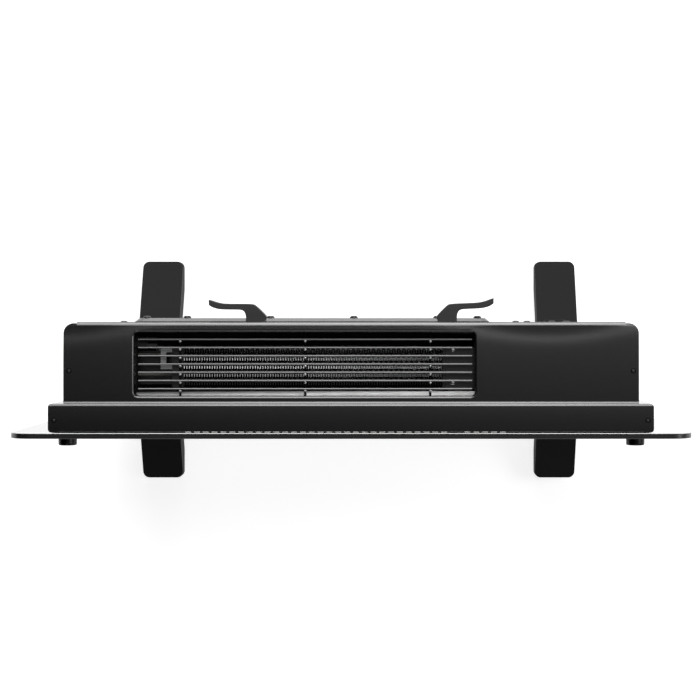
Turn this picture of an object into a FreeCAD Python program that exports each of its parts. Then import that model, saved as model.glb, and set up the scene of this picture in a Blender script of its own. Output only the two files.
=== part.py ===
import FreeCAD, Part
import math
import os

from FreeCAD import Vector

# Ceramic fan heater with a glass front, standing on two feet. Sizes are in millimetres.
# X runs to the right, Y to the rear and Z up. The origin is on the floor, midway between the feet.

# Driving dimensions: sheet metal and fits
sheet = 1.0
bend_radius = 2.0
duct_sheet = 0.8
fit_gap = 0.3
hole_gap = 0.15
running_gap = 0.05
seam_gap = 0.2
small_sides = 6
round_sides = 16

# Driving dimensions: glass front and its fixings
glass_width = 600.0
glass_height = 360.0
glass_thickness = 5.0
glass_corner = 20.0
glass_arris = 0.6
glass_rise = 4.0
cap_radius = 8.2
cap_depth = 7.2
cap_edge = 0.8
cap_side_inset = 13.5
cap_end_inset = 23.0
stud_radius = 2.5
stud_head_radius = 5.0
stud_head_height = 3.0
washer_thickness = 0.3
washer_radius = 7.0

# Driving dimensions: front casing and front plate
casing_width = 530.0
casing_height = 356.0
casing_depth = 25.2
casing_corner = 3.0
side_lip = 9.0
plate_drop = 0.3
vent_pitch = 7.72
vent_width = 5.4
vent_height = 32.0
long_vent_count = 30
long_vents_start = -145.1
short_vent_count = 5
short_vents_start = 99.2
tab_reach = 16.0
tab_width = 9.0
window_width = 90.0
window_height = 22.0
window_rise = 90.0

# Driving dimensions: rear casing and top panel
rear_face = 51.0
body_width = 506.0
body_depth = 70.5
body_step = 10.0
body_corner = 9.0
lip_width = 12.0
lap_depth = 12.0
lap_inset = 11.5
upturn_height = 8.0
top_tab_reach = 21.4
top_tab_width = 11.0
top_tab_length = 14.0
opening_middle = -41.0
opening_width = 300.0
opening_depth = 56.0
opening_rear = 8.0
opening_corner = 4.0
opening_rim = 1.75
rim_steps = 3
collar_depth = 12.0

# Driving dimensions: outlet grille
bar_radius = 0.95
bar_pitch = 7.22
bar_count = 7
bar_end_gap = 2.25
rod_radius = 1.0
rod_spread_share = 0.375
weld_sink = 0.2

# Driving dimensions: rear cover and cord hooks
cover_middle = -36.0
cover_width = 322.0
cover_height = 170.0
cover_depth = 4.5
cover_slope = 5.0
cover_drop = 34.0
slot_columns = 4
slot_rows = 5
slot_length = 62.0
slot_width = 4.6
slot_column_pitch = 74.0
slot_row_pitch = 15.0
slot_drop = 42.0
hook_inner = 76.0
hook_root = 17.5
hook_reach = 50.0
hook_bend = 37.0
hook_arm = 5.0
hook_gap = 12.0
hook_curl = 3.8
hook_lead = 11.0
hook_foot = 4.5
hook_height = 15.0
hook_drop = 3.0
hook_corner = 4.0
hook_sweep = 8.0
hook_round = 1.2

# Driving dimensions: feet
foot_spacing = 423.6
foot_width = 42.8
foot_length = 234.0
foot_height = 60.0
foot_toe = 17.0
foot_saddle = 76.0
foot_sole = 30.0
foot_arch = 32.0
foot_corner = 6.5
foot_bend = 6.0
foot_screw_front = -32.0
foot_screw_rear = 24.0
foot_seat = 20.0
pad_length = 20.0
pad_width = 28.0
pad_thickness = 3.0
pad_proud = 1.0
pad_inset = 5.0

# Driving dimensions: foot screws
foot_screw_radius = 2.0
foot_head_radius = 3.8
foot_head_height = 2.6
foot_screw_tail = 4.0

# Driving dimensions: ceramic element
element_middle_x = -34.4
element_middle_y = 11.0
element_drop = 21.0
element_height = 15.0
fin_end_space = 68.0
fin_leg = 4.52
fin_band = 0.7
fin_row_depth = 4.9
fin_rows = 5
ceramic_thickness = 2.4
holder_length = 10.0
holder_margin = 2.0
bracket_sheet = 0.8
bracket_depth = 30.0
bracket_height = 15.0
bracket_lap = 7.0
bus_width = 5.0
bus_length = 19.0
bus_gap = 5.4
bus_offset = 8.5
bus_leg = 4.0
lead_radius = 1.25
lead_pitch = 9.0
lead_offset = -6.0
lead_count = 3
lead_drop = 9.0
lead_block_length = 16.0
lead_block_depth = 40.0
lead_block_height = 18.0
cutout_radius = 5.5
cutout_length = 9.0
cutout_tab = 9.0
cutout_tab_width = 3.0
cutout_rear = 9.0
cutout_drop = 21.5

# Driving dimensions: blower
mouth_flare = 3.5
mouth_height = 4.5
wheel_radius = 23.0
wheel_end_gap = 12.0
wheel_drop = 48.0
wheel_disc = 2.0
wheel_hub_radius = 7.0
wheel_hub_length = 8.0
blade_count = 20
blade_depth = 5.2
blade_curve = 1.6
blade_thickness = 0.7
scroll_gap = 6.0
tongue_gap = 3.0
baffle_gap = 2.9
baffle_top = 8.5
baffle_drop = 11.0
flange = 10.0
end_flange = 12.0
end_skirt = 14.0
shaft_radius = 3.0
shaft_tail = 6.0
bush_radius = 5.5
bush_length = 7.0
mount_radius = 10.0
mount_lip = 2.0

# Driving dimensions: motor
motor_gap = 10.0
stator_length = 22.0
stator_depth = 50.0
stator_top = 25.0
stator_bottom = 45.0
rotor_radius = 15.0
rotor_gap = 0.8
coil_depth = 24.0
coil_overhang = 5.0
coil_bottom = 52.0
coil_window = 17.0
limb_height = 9.0
strap_sheet = 2.0
strap_half = 8.0
boss_radius = 7.5
boss_length = 7.0
motor_bolt_radius = 2.0
spacer_radius = 3.4
motor_bolt_spread = 20.0
motor_bolt_rise = 18.0
strap_top = 22.0

# Driving dimensions: mains inlet and switch
gland_x = 205.0
gland_rise = 40.0
gland_radius = 11.0
gland_flange = 3.0
gland_neck = 8.0
gland_bore = 3.6
gland_nut_radius = 10.5
gland_nut_height = 5.0
switch_rise = 70.0
switch_length = 30.0
switch_depth = 18.0
switch_reach = 22.0
bezel_margin = 2.0
bezel_height = 2.0
well_margin = 2.6
well_depth = 11.0
rocker_gap = 0.4
rocker_rise = 4.6
rocker_crown = 2.2
rocker_sweep = 17.6
rocker_base = 2.4
rocker_tilt = 8.0
pivot_depth = 4.5
pin_radius = 1.4
pin_length = 1.4

# Driving dimensions: control parts
bracket_motor_gap = 1.0
bracket_wall_gap = 10.0
bracket_top = 372.0
bracket_bottom = 200.0
board_side = 8.0
part_gap = 4.0
board_height = 84.0
board_thickness = 1.6
board_inset = 8.0
post_radius = 3.0
post_length = 8.0
post_inset = 6.0
relay_width = 19.0
relay_height = 15.5
relay_depth = 16.0
relay_pitch = 24.0
transformer_width = 30.0
transformer_height = 26.0
transformer_depth = 24.0
block_width = 24.0
block_height = 14.0
block_depth = 13.0
harness_radius = 2.4
harness_bend = 12.0
harness_drop = 24.0
tilt_x = -120.0
tilt_width = 24.0
tilt_depth = 18.0
tilt_height = 30.0
touch_width = 120.0
touch_height = 36.0
touch_post = 5.0

# Places that follow from the driving dimensions
body_bottom = foot_height
casing_top = body_bottom + casing_height
body_top = casing_top - body_step
glass_top = casing_top + glass_rise
rear_inner = rear_face - sheet
casing_rear = rear_face - body_depth
casing_front = casing_rear - casing_depth
plate_inner = casing_front + sheet
glass_back = casing_front - washer_thickness
glass_front = glass_back - glass_thickness
cap_x = casing_width / 2 - cap_side_inset
cap_z_low = body_bottom + cap_end_inset
cap_z_high = casing_top - cap_end_inset
side_inner = body_width / 2 - sheet
opening_left = opening_middle - opening_width / 2
opening_right = opening_middle + opening_width / 2
opening_back = rear_face - opening_rear
opening_front = opening_back - opening_depth
opening_mid_y = (opening_front + opening_back) / 2
bar_length = opening_width - 2 * bar_end_gap
rod_spread = bar_length * rod_spread_share
wheel_length = opening_width - 2 * wheel_end_gap
collar_bottom = body_top - collar_depth
duct_top = collar_bottom - fit_gap - 2 * rod_radius
element_top = body_top - element_drop
element_bottom = element_top - element_height
element_depth = fin_rows * fin_row_depth + (fin_rows - 1) * ceramic_thickness
element_front = element_middle_y - element_depth / 2
element_back = element_middle_y + element_depth / 2
leg_count = round((opening_width - fin_end_space) / fin_leg)
fins_left = element_middle_x - leg_count * fin_leg / 2
fins_right = element_middle_x + leg_count * fin_leg / 2
holder_left = fins_left - holder_length
holder_right = fins_right + holder_length
holder_low = element_bottom - holder_margin
holder_high = element_top + holder_margin
duct_front = opening_front + mouth_flare
duct_back = element_back + baffle_gap
scroll_radius = wheel_radius + scroll_gap
wheel_y = duct_front + scroll_radius
wheel_z = element_bottom - wheel_drop
scroll_bottom = wheel_z - scroll_radius
tongue_z = wheel_z + math.sqrt((wheel_radius + tongue_gap) ** 2 - (duct_back - wheel_y) ** 2)
stator_left = opening_right + sheet + motor_gap
stator_right = stator_left + stator_length
motor_end = stator_right + strap_sheet + boss_length
bracket_left = motor_end + bracket_motor_gap
bracket_right = side_inner - bracket_wall_gap
cover_top = body_top - cover_drop
cover_bottom = cover_top - cover_height
hook_top = body_top - lap_depth - hook_drop
hook_bottom = hook_top - hook_height
lead_z = element_top - lead_drop
lead_block_right = opening_left - sheet
harness_y = rear_inner - sheet - post_length - board_thickness - block_depth / 2


def span(middle, size):
    """Low and high end of a size set about its middle."""
    return (middle - size / 2, middle + size / 2)


def point(axis, u, v, w):
    """Point at w along the axis; u and v are its other two coordinates in X, Y, Z order."""
    return {"X": Vector(w, u, v), "Y": Vector(u, w, v), "Z": Vector(u, v, w)}[axis]


def block(x, y, z):
    """Plain block from three spans."""
    return Part.makeBox(x[1] - x[0], y[1] - y[0], z[1] - z[0], Vector(x[0], y[0], z[0]))


def corner_arc(before, corner, after, radius):
    """Start, middle and end of the arc that rounds one corner."""
    back = (before - corner).normalize()
    ahead = (after - corner).normalize()
    half = back.getAngle(ahead) / 2
    reach = radius / math.tan(half)
    inward = (back + ahead).normalize()
    middle = corner + inward * (radius / math.sin(half) - radius)
    return corner + back * reach, middle, corner + ahead * reach


def rounded_wire(points, radii, closed):
    """Wire of straight runs and arcs; a radius of 0 leaves its corner sharp."""
    count = len(points)
    edges = []
    stops = []
    for index, radius in enumerate(radii):
        corner = points[index]
        if radius > 0:
            stops.append(corner_arc(points[index - 1], corner, points[(index + 1) % count], radius))
        else:
            stops.append((corner, corner, corner))
    for here, there in zip(stops, stops[1:] + stops[:1] if closed else stops[1:]):
        if here[0] != here[2]:
            edges.append(Part.Arc(*here).toShape())
        if here[2] != there[0]:
            edges.append(Part.makeLine(here[2], there[0]))
    return Part.Wire(edges)


def plate(points, radii, axis, reach):
    """Closed outline with rounded corners, drawn across the axis and extruded over its span."""
    wire = rounded_wire([point(axis, u, v, reach[0]) for u, v in points], radii, True)
    return Part.Face(wire).extrude(point(axis, 0, 0, reach[1] - reach[0]))


def rounded_block(x, y, z, radius, axis):
    """Block whose four edges along the axis are rounded."""
    u, v, reach = {"X": (y, z, x), "Y": (x, z, y), "Z": (x, y, z)}[axis]
    corners = [(u[0], v[0]), (u[1], v[0]), (u[1], v[1]), (u[0], v[1])]
    return plate(corners, [radius] * 4, axis, reach)


def bent_sheet(points, radii, side, x):
    """Duct sheet along X, bent to a path in the YZ plane; side 1 or -1 picks where its thickness goes."""
    path = rounded_wire([Vector(x[0], u, v) for u, v in points], [0] + radii + [0], False)
    face = path.makeOffset2D(side * duct_sheet, 2, True, True)
    return face.extrude(Vector(x[1] - x[0], 0, 0))


def set_along(solid, place, direction):
    """Move a solid drawn up the Z axis to a place, and point it along a direction."""
    solid.Placement = FreeCAD.Placement(place, FreeCAD.Rotation(Vector(0, 0, 1), direction))
    return solid


def turned(profile, place, direction, sides=small_sides):
    """Small turned piece with flat sides, from (radius, height) points around its axis."""
    turns = [2 * math.pi * index / sides for index in range(sides + 1)]
    faces = []
    for (low, start), (high, end) in zip(profile, profile[1:] + profile[:1]):
        for here, there in zip(turns, turns[1:]):
            corners = [(low, start, here), (low, start, there), (high, end, there), (high, end, here)]
            points = []
            for radius, height, turn in corners:
                spot = Vector(radius * math.cos(turn), radius * math.sin(turn), height)
                if not any(spot.isEqual(other, seam_gap / 100) for other in points):
                    points.append(spot)
            if len(points) > 2:
                faces.append(Part.Face(Part.makePolygon(points + points[:1])))
    shell = Part.makeShell(faces)
    shell.sewShape()
    solid = Part.makeSolid(shell)
    if solid.Volume < 0:
        solid.reverse()
    return set_along(solid, place, direction)


def rod(start, end, radius, sides=small_sides):
    """Small bar with flat sides between two points."""
    turns = [2 * math.pi * index / sides for index in range(sides)]
    corners = [Vector(radius * math.cos(turn), radius * math.sin(turn), 0) for turn in turns]
    wire = Part.makePolygon(corners + corners[:1])
    bar = Part.Face(wire).extrude(Vector(0, 0, start.distanceToPoint(end)))
    return set_along(bar, start, end - start)


def round_rod(start, end, radius):
    """True round bar between two points, for what turns or takes a shaft."""
    return Part.makeCylinder(radius, start.distanceToPoint(end), start, end - start)


def ring(radius, bore, place, direction, length, sides=small_sides):
    """Tube or washer."""
    return turned([(bore, 0), (radius, 0), (radius, length), (bore, length)], place, direction, sides)


def joined(shapes):
    """One solid from shapes that touch or overlap."""
    return shapes[0].multiFuse(shapes[1:]).removeSplitter()


def mirrored(shape):
    """The same shape on the other side of the middle plane."""
    return shape.mirror(Vector(0, 0, 0), Vector(1, 0, 0))


def cap_places():
    return [(side * cap_x, z) for side in (-1, 1) for z in (cap_z_low, cap_z_high)]


# Glass front

def glass_panel():
    x = span(0, glass_width)
    z = (glass_top - glass_height, glass_top)
    pane = rounded_block(x, (glass_front, glass_back), z, glass_corner, "Y")
    rims = [edge for edge in pane.Edges if edge.BoundBox.YLength < glass_thickness / 2]
    pane = pane.makeChamfer(glass_arris, rims)
    for cap, z in cap_places():
        front = Vector(cap, glass_front - sheet, z)
        pane = pane.cut(rod(front, Vector(cap, glass_back + sheet, z), stud_radius + fit_gap))
    return pane


def glass_caps():
    rim = cap_radius - cap_edge
    profile = [(0, 0), (cap_radius, 0), (cap_radius, cap_depth - cap_edge), (rim, cap_depth), (0, cap_depth)]
    places = [Vector(x, glass_front, z) for x, z in cap_places()]
    return [turned(profile, place, Vector(0, -1, 0), round_sides) for place in places]


def glass_studs():
    length = plate_inner - glass_front
    profile = [(0, -stud_head_height), (stud_head_radius, -stud_head_height), (stud_head_radius, 0)]
    profile += [(stud_radius, 0), (stud_radius, length), (0, length)]
    return [turned(profile, Vector(x, plate_inner, z), Vector(0, -1, 0)) for x, z in cap_places()]


def glass_washers():
    bore = stud_radius + fit_gap
    return [ring(washer_radius, bore, Vector(x, casing_front, z), Vector(0, -1, 0), washer_thickness)
            for x, z in cap_places()]


# Front casing: a tray with a rounded rear edge, closed by a flat front plate

def casing_form():
    """Outside of the tray: its plan has rounded corners, its side view a rounded rear edge."""
    x = span(0, casing_width)
    y = (casing_front, casing_rear)
    z = (body_bottom, casing_top)
    plan = rounded_block(x, y, z, casing_corner, "Z")
    points = [(y[0], z[0]), (y[1], z[0]), (y[1], z[1]), (y[0], z[1])]
    return plan.common(plate(points, [0, bend_radius, bend_radius, 0], "X", x))


def casing_hollow():
    """Inside of the tray, with its corners cut off so that the wall keeps its thickness."""
    x = casing_width / 2 - sheet
    front = casing_front + sheet
    back = casing_rear - sheet
    cut = casing_corner - sheet
    points = [(-x, front + cut), (cut - x, front), (x - cut, front), (x, front + cut)]
    points += [(x, back - cut), (x - cut, back), (cut - x, back), (-x, back - cut)]
    return plate(points, [0] * len(points), "Z", (body_bottom + sheet, casing_top - sheet))


def vent_starts():
    groups = [(long_vents_start, long_vent_count), (short_vents_start, short_vent_count)]
    return [start + index * vent_pitch for start, count in groups for index in range(count)]


def plate_half():
    return casing_width / 2 - side_lip - seam_gap


def front_plate():
    """Flat sheet between the tray's side lips, with vent slots along its top edge and four fixing tabs."""
    level = (body_bottom + plate_drop, casing_top - plate_drop)
    through = (casing_front - sheet, plate_inner + sheet)
    parts = [block((-plate_half(), plate_half()), (casing_front, plate_inner), level)]
    for z in ((body_bottom + sheet, body_bottom + 2 * sheet), (casing_top - 2 * sheet, casing_top - sheet)):
        tab = tab_strip(z)
        parts += [tab, mirrored(tab)]
    cuts = []
    for x, z in cap_places():
        cuts.append(rod(Vector(x, through[0], z), Vector(x, through[1], z), stud_radius + hole_gap))
    for x in vent_starts():
        cuts.append(block((x, x + vent_width), through, (casing_top - vent_height, casing_top)))
    window = (body_bottom + window_rise, body_bottom + window_rise + window_height)
    cuts.append(block(span(0, window_width), through, window))
    return joined(parts).cut(cuts)


def tab_strip(z):
    """Strip bent back from the plate, lying against the inside of the tray and out to its corner."""
    inner = plate_half() - tab_width
    outer = casing_width / 2 - bend_radius
    back = casing_front + tab_reach
    stem = block((inner, plate_half()), (casing_front, back), z)
    arm = block((inner, outer), (back - tab_width, back), z)
    return stem.fuse(arm)


def front_casing():
    tray = casing_form().cut(casing_hollow())
    mouth = casing_width / 2 - side_lip
    level = (body_bottom - sheet, casing_top + sheet)
    tray = tray.cut(block((-mouth, mouth), (casing_front - sheet, plate_inner), level))
    cuts = [foot_hole(place) for place in foot_screw_places() if place.y < casing_rear]
    return tray.cut(cuts)


# Rear casing and top panel

def body_outline(inset, z):
    """Body outline with its two rear corners rounded."""
    x = span(0, body_width - 2 * inset)
    points = [(x[0], casing_rear), (x[1], casing_rear), (x[1], rear_face - inset), (x[0], rear_face - inset)]
    round_to = body_corner - inset
    return plate(points, [0, 0, round_to, round_to], "Z", z)


def rear_casing():
    wall_top = body_top - sheet
    shell = body_outline(0, (body_bottom, wall_top))
    shell = shell.cut(body_outline(sheet, (body_bottom + sheet, body_top)))
    lip_y = (casing_rear, casing_rear + sheet)
    lip_x = (body_width / 2 - lip_width, body_width / 2 - sheet / 2)
    tab_x = (body_width / 2 - top_tab_width, body_width / 2 - sheet / 2)
    tab_y = (casing_rear + top_tab_reach, casing_rear + top_tab_reach + top_tab_length)
    tab = block(tab_x, tab_y, (wall_top - sheet, wall_top))
    lip = block(lip_x, lip_y, (body_bottom + sheet / 2, wall_top))
    sill_z = (body_bottom + sheet / 2, body_bottom + lip_width)
    sill = block(span(0, body_width - 2 * lip_width), lip_y, sill_z)
    parts = [shell, tab, mirrored(tab), lip, mirrored(lip), sill]
    shell = joined(parts)
    intake_z = (scroll_bottom + sheet, tongue_z - flange - sheet)
    through = (rear_inner - sheet, rear_face + sheet)
    intake = block((opening_left + sheet, opening_right - sheet), through, intake_z)
    lap = block(span(0, body_width - 2 * lap_inset), (rear_inner - fit_gap, rear_face + sheet),
                (wall_top - bend_radius + sheet - hole_gap, body_top))
    cuts = [intake, lap]
    gland = Vector(gland_x, through[1], body_bottom + gland_rise)
    cuts.append(rod(gland, gland - Vector(0, 3 * sheet, 0), gland_neck + hole_gap, round_sides))
    cuts += [foot_hole(place) for place in foot_screw_places() if place.y > casing_rear]
    mouth = switch_spans(hole_gap)
    cuts.append(block((side_inner - sheet, body_width / 2 + sheet), mouth[0], mouth[1]))
    return shell.cut(cuts)


def lap_bend(flat_from):
    """Rear edge of the top panel: a bend and a flange that laps over the rear wall."""
    back = rear_face + sheet
    low = body_top - lap_depth
    points = [(flat_from, body_top), (back, body_top), (back, low)]
    points += [(rear_face, low), (rear_face, body_top - sheet), (flat_from, body_top - sheet)]
    inner = bend_radius - sheet
    return plate(points, [0, bend_radius, 0, 0, inner, 0], "X", span(0, body_width - 2 * lap_inset))


def upturn_bend(flat_to):
    """Front edge of the top panel: a flange turned up against the front casing."""
    front = casing_rear
    high = body_top + upturn_height
    points = [(flat_to, body_top - sheet), (flat_to, body_top), (front + sheet, body_top)]
    points += [(front + sheet, high), (front, high), (front, body_top - sheet)]
    inner = bend_radius - sheet
    return plate(points, [0, 0, inner, 0, 0, bend_radius], "X", span(0, body_width))


def top_panel():
    flat_front = casing_rear + 2 * bend_radius
    flat_back = rear_face - bend_radius
    panel = body_outline(0, (body_top - sheet, body_top))
    wide = span(0, body_width + sheet)
    lap = span(0, body_width - 2 * lap_inset)
    level = (body_top - 2 * sheet, body_top + sheet)
    panel = panel.cut([block(wide, (casing_rear - sheet, flat_front), level),
                       block(lap, (flat_back, rear_face + sheet), level)])
    outer_x = (opening_left - sheet, opening_right + sheet)
    outer_y = (opening_front - sheet, opening_back + sheet)
    collar = rounded_block(outer_x, outer_y, (collar_bottom, body_top), opening_corner + sheet, "Z")
    panel = joined([panel, upturn_bend(flat_front), lap_bend(flat_back), collar])
    return panel.cut(outlet_hole())


def outlet_hole():
    """Outlet through panel and collar, opening out at the top in small steps like a rolled edge."""
    sections = [(0, collar_bottom - sheet)]
    for step in range(rim_steps + 1):
        turn = math.pi / 2 * step / rim_steps
        sections.append((opening_rim * (1 - math.cos(turn)), body_top - opening_rim * (1 - math.sin(turn))))
    sections.append((opening_rim, body_top + sheet))
    wires = []
    for margin, z in sections:
        x = (opening_left - margin, opening_right + margin)
        y = (opening_front - margin, opening_back + margin)
        corners = [(x[0], y[0]), (x[1], y[0]), (x[1], y[1]), (x[0], y[1])]
        points = [point("Z", u, v, z) for u, v in corners]
        wires.append(rounded_wire(points, [opening_corner + margin] * 4, True))
    return Part.makeLoft(wires, True, True)


# Outlet grille, welded from round wire

def outlet_grille():
    rod_z = duct_top + rod_radius
    bar_z = rod_z + rod_radius + bar_radius - weld_sink
    ends = span(opening_middle, bar_length)
    wires = []
    for index in range(bar_count):
        y = opening_mid_y + (index - (bar_count - 1) / 2) * bar_pitch
        wires.append(rod(Vector(ends[0], y, bar_z), Vector(ends[1], y, bar_z), bar_radius))
    for offset in (-rod_spread, 0, rod_spread):
        x = opening_middle + offset
        front = Vector(x, opening_front - duct_sheet, rod_z)
        back = Vector(x, opening_back + duct_sheet, rod_z)
        wires.append(rod(front, back, rod_radius))
    return joined(wires)


# Rear cover with intake slots

def cover_form(inset, base, face):
    """Shallow pan with sloping sides between two levels along Y."""
    def outline(margin, y):
        x = span(cover_middle, cover_width - 2 * margin)
        z = (cover_bottom + margin, cover_top - margin)
        corners = [(x[0], z[0]), (x[1], z[0]), (x[1], z[1]), (x[0], z[1])]
        return rounded_wire([point("Y", u, v, y) for u, v in corners], [cover_slope + sheet] * 4, True)
    return Part.makeLoft([outline(inset, base), outline(inset + cover_slope, face)], True, True)


def rear_cover():
    face = rear_face + cover_depth
    pan = cover_form(0, rear_face, face).cut(cover_form(sheet, rear_face - sheet / 4, face - sheet))
    cuts = []
    for column in range(slot_columns):
        x = cover_middle + (column - (slot_columns - 1) / 2) * slot_column_pitch
        for row in range(slot_rows):
            z = cover_top - slot_drop - row * slot_row_pitch
            reach = (rear_face, face + sheet)
            cuts.append(block(span(x, slot_length), reach, span(z, slot_width)))
    return pan.cut(cuts)


# Cord hooks: a root on the rear wall, an arm and a tip that curls away

def cord_hook():
    root = hook_inner + hook_root
    arm_low = rear_face + hook_gap
    arm_high = arm_low + hook_arm
    bend = hook_inner + hook_bend
    tip = hook_inner + hook_reach
    points = [(hook_inner, rear_face), (root, rear_face), (root, arm_low), (bend, arm_low)]
    points += [(tip, arm_low + hook_curl), (tip, arm_high + hook_curl), (bend, arm_high)]
    points += [(hook_inner + hook_lead, arm_high), (hook_inner, rear_face + hook_foot)]
    radii = [0, 0, hook_corner, hook_sweep, hook_round, hook_round, hook_sweep, hook_corner, hook_round]
    return plate(points, radii, "Z", (hook_bottom, hook_top))


# Feet: an arch with two toes

def foot_profile():
    """Side outline of a foot."""
    toe = foot_length / 2
    saddle = foot_saddle / 2
    sole = toe - foot_sole
    low = pad_proud
    top = [(toe, foot_toe), (saddle, foot_height), (-saddle, foot_height), (-toe, foot_toe)]
    under = [(-toe, low), (-sole, low), (-saddle, foot_arch), (saddle, foot_arch), (sole, low), (toe, low)]
    return top + under


def foot_left():
    middle = -foot_spacing / 2
    x = span(middle, foot_width)
    points = foot_profile()
    radii = [0, foot_bend, foot_bend, 0, 0, foot_bend, foot_bend, foot_bend, foot_bend, 0]
    body = plate(points, radii, "X", x)
    body = body.common(rounded_block(x, span(0, foot_length), (0, foot_height), foot_corner, "Z"))
    cuts = [pad_block(middle, side, hole_gap) for side in (-1, 1)]
    for y in (foot_screw_front, foot_screw_rear):
        seat = Vector(middle, y, foot_height - foot_seat)
        cuts.append(rod(Vector(middle, y, 0), seat, foot_head_radius + fit_gap))
        cuts.append(rod(seat, Vector(middle, y, foot_height + sheet), foot_screw_radius + hole_gap))
    return body.cut(cuts)


def pad_block(middle, side, gap):
    """One rubber pad, or its recess when a gap is given."""
    outer = foot_length / 2 - pad_inset
    y = sorted((side * (outer + gap), side * (outer - pad_length - gap)))
    return block(span(middle, pad_width + 2 * gap), y, (0, pad_thickness))


def foot_pads():
    return [pad_block(middle, side, 0) for middle in span(0, foot_spacing) for side in (-1, 1)]


def foot_screw_places():
    seat = foot_height - foot_seat
    rows = (foot_screw_front, foot_screw_rear)
    return [Vector(x, y, seat) for x in span(0, foot_spacing) for y in rows]


def foot_hole(place):
    """Hole for a foot screw through the sheet above it."""
    start = Vector(place.x, place.y, body_bottom - sheet)
    return rod(start, start + Vector(0, 0, 3 * sheet), foot_screw_radius + hole_gap)


def foot_screws():
    length = foot_seat + sheet + foot_screw_tail
    profile = [(0, -foot_head_height), (foot_head_radius, -foot_head_height), (foot_head_radius, 0)]
    profile += [(foot_screw_radius, 0), (foot_screw_radius, length), (0, length)]
    return [turned(profile, place, Vector(0, 0, 1)) for place in foot_screw_places()]


# Ceramic element: folded fins between ceramic bars, held at both ends

def fin_row(front):
    back = front + fin_row_depth
    upper = []
    lower = []
    for index in range(leg_count + 1):
        x = fins_left + index * fin_leg
        crest = index % 2 == 1
        upper.append((x, back if crest else front + fin_band))
        lower.append((x, back - fin_band if crest else front))
    return plate(upper + lower[::-1], [0] * (2 * len(upper)), "Z", (element_bottom, element_top))


def ptc_fins():
    step = fin_row_depth + ceramic_thickness
    return [fin_row(element_front + row * step) for row in range(fin_rows)]


def ptc_bars():
    step = fin_row_depth + ceramic_thickness
    bars = []
    for row in range(fin_rows - 1):
        front = element_front + fin_row_depth + row * step
        y = (front, front + ceramic_thickness)
        bars.append(block((fins_left, fins_right), y, (element_bottom, element_top)))
    return bars


def lead_places():
    return [element_middle_y + lead_offset + index * lead_pitch for index in range(lead_count)]


def ptc_holders():
    y = (element_front - holder_margin, element_back + holder_margin)
    z = (holder_low, holder_high)
    return [block((holder_left, fins_left), y, z), block((fins_right, holder_right), y, z)]


def ptc_terminals():
    """Bus strip that ties the bars' contacts at the left end."""
    right = holder_left - bus_gap
    middle = element_middle_y + bus_offset
    z = (element_top - sheet, element_top)
    parts = [block((right - bus_width, right), span(middle, bus_length), z)]
    for side in (-1, 1):
        y = span(middle + side * (bus_length - bus_leg) / 2, bus_leg)
        parts.append(block((right - sheet, holder_left), y, z))
    return joined(parts)


def element_bracket_left():
    y = span(element_middle_y, bracket_depth)
    shelf = block((opening_left, holder_left + bracket_lap), y, (holder_low - bracket_sheet, holder_low))
    wall = block((opening_left, opening_left + bracket_sheet), y, (holder_low - bracket_height, holder_low))
    return joined([shelf, wall])


def element_bracket_right():
    y = span(element_middle_y, bracket_depth + bracket_lap)
    high = (holder_high, holder_high + bracket_sheet)
    shelf = block((holder_right - bracket_lap, opening_right), y, high)
    wall = block((opening_right - bracket_sheet, opening_right), y, (holder_high - bracket_height, high[1]))
    return joined([shelf, wall])


def element_leads():
    start = holder_left
    end = lead_block_right
    return [rod(Vector(start, y, lead_z), Vector(end, y, lead_z), lead_radius) for y in lead_places()]


def lead_block():
    x = (lead_block_right - lead_block_length, lead_block_right)
    y = span(element_middle_y + lead_pitch, lead_block_depth)
    return block(x, y, span(lead_z, lead_block_height))


def thermal_cutout():
    y = opening_back - cutout_rear
    z = body_top - cutout_drop
    start = Vector(opening_left, y, z)
    body = rod(start, start + Vector(cutout_length, 0, 0), cutout_radius)
    parts = [body]
    for side in (-1, 1):
        tab_y = span(y + side * cutout_radius / 2, cutout_tab_width)
        x = (opening_left + cutout_length - sheet, opening_left + cutout_length + cutout_tab)
        parts.append(block(x, tab_y, span(z + cutout_radius / 2, duct_sheet)))
    return joined(parts)


# Blower: scroll, tongue, end plates and the cross-flow wheel

def scroll_plate():
    points = [(opening_front, duct_top), (duct_front, duct_top - mouth_height), (duct_front, scroll_bottom)]
    points += [(rear_inner, scroll_bottom), (rear_inner, scroll_bottom - flange)]
    return bent_sheet(points, [bend_radius, scroll_radius, bend_radius], 1, (opening_left, opening_right))


def tongue_plate():
    back = rear_inner - duct_sheet
    low = duct_top - baffle_top - baffle_drop
    points = [(opening_back, duct_top), (opening_back, duct_top - baffle_top), (duct_back, low)]
    points += [(duct_back, tongue_z), (back, tongue_z), (back, tongue_z - flange)]
    return bent_sheet(points, [bend_radius] * 4, -1, (opening_left, opening_right))


def end_plate(inner, outward):
    """Side of the blower, with a flange that lies on the rear wall."""
    outer = inner + outward * sheet
    y = (opening_front - sheet, rear_inner)
    side = block(sorted((inner, outer)), y, (scroll_bottom - end_skirt, duct_top))
    foot = block(sorted((inner, inner + outward * end_flange)), (rear_inner - sheet, rear_inner),
                 (scroll_bottom - end_skirt, tongue_z))
    return joined([side, foot])


def end_plate_left():
    plate_left = end_plate(opening_left, -1)
    hub = Vector(opening_left + sheet, wheel_y, wheel_z)
    cuts = [rod(hub, hub - Vector(3 * sheet, 0, 0), mount_radius - mount_lip)]
    for y in lead_places():
        start = Vector(opening_left + sheet, y, lead_z)
        cuts.append(rod(start, start - Vector(3 * sheet, 0, 0), lead_radius + fit_gap))
    return plate_left.cut(cuts)


def motor_bolt_places():
    return [(wheel_y + side * motor_bolt_spread, wheel_z + motor_bolt_rise) for side in (-1, 1)]


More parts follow.
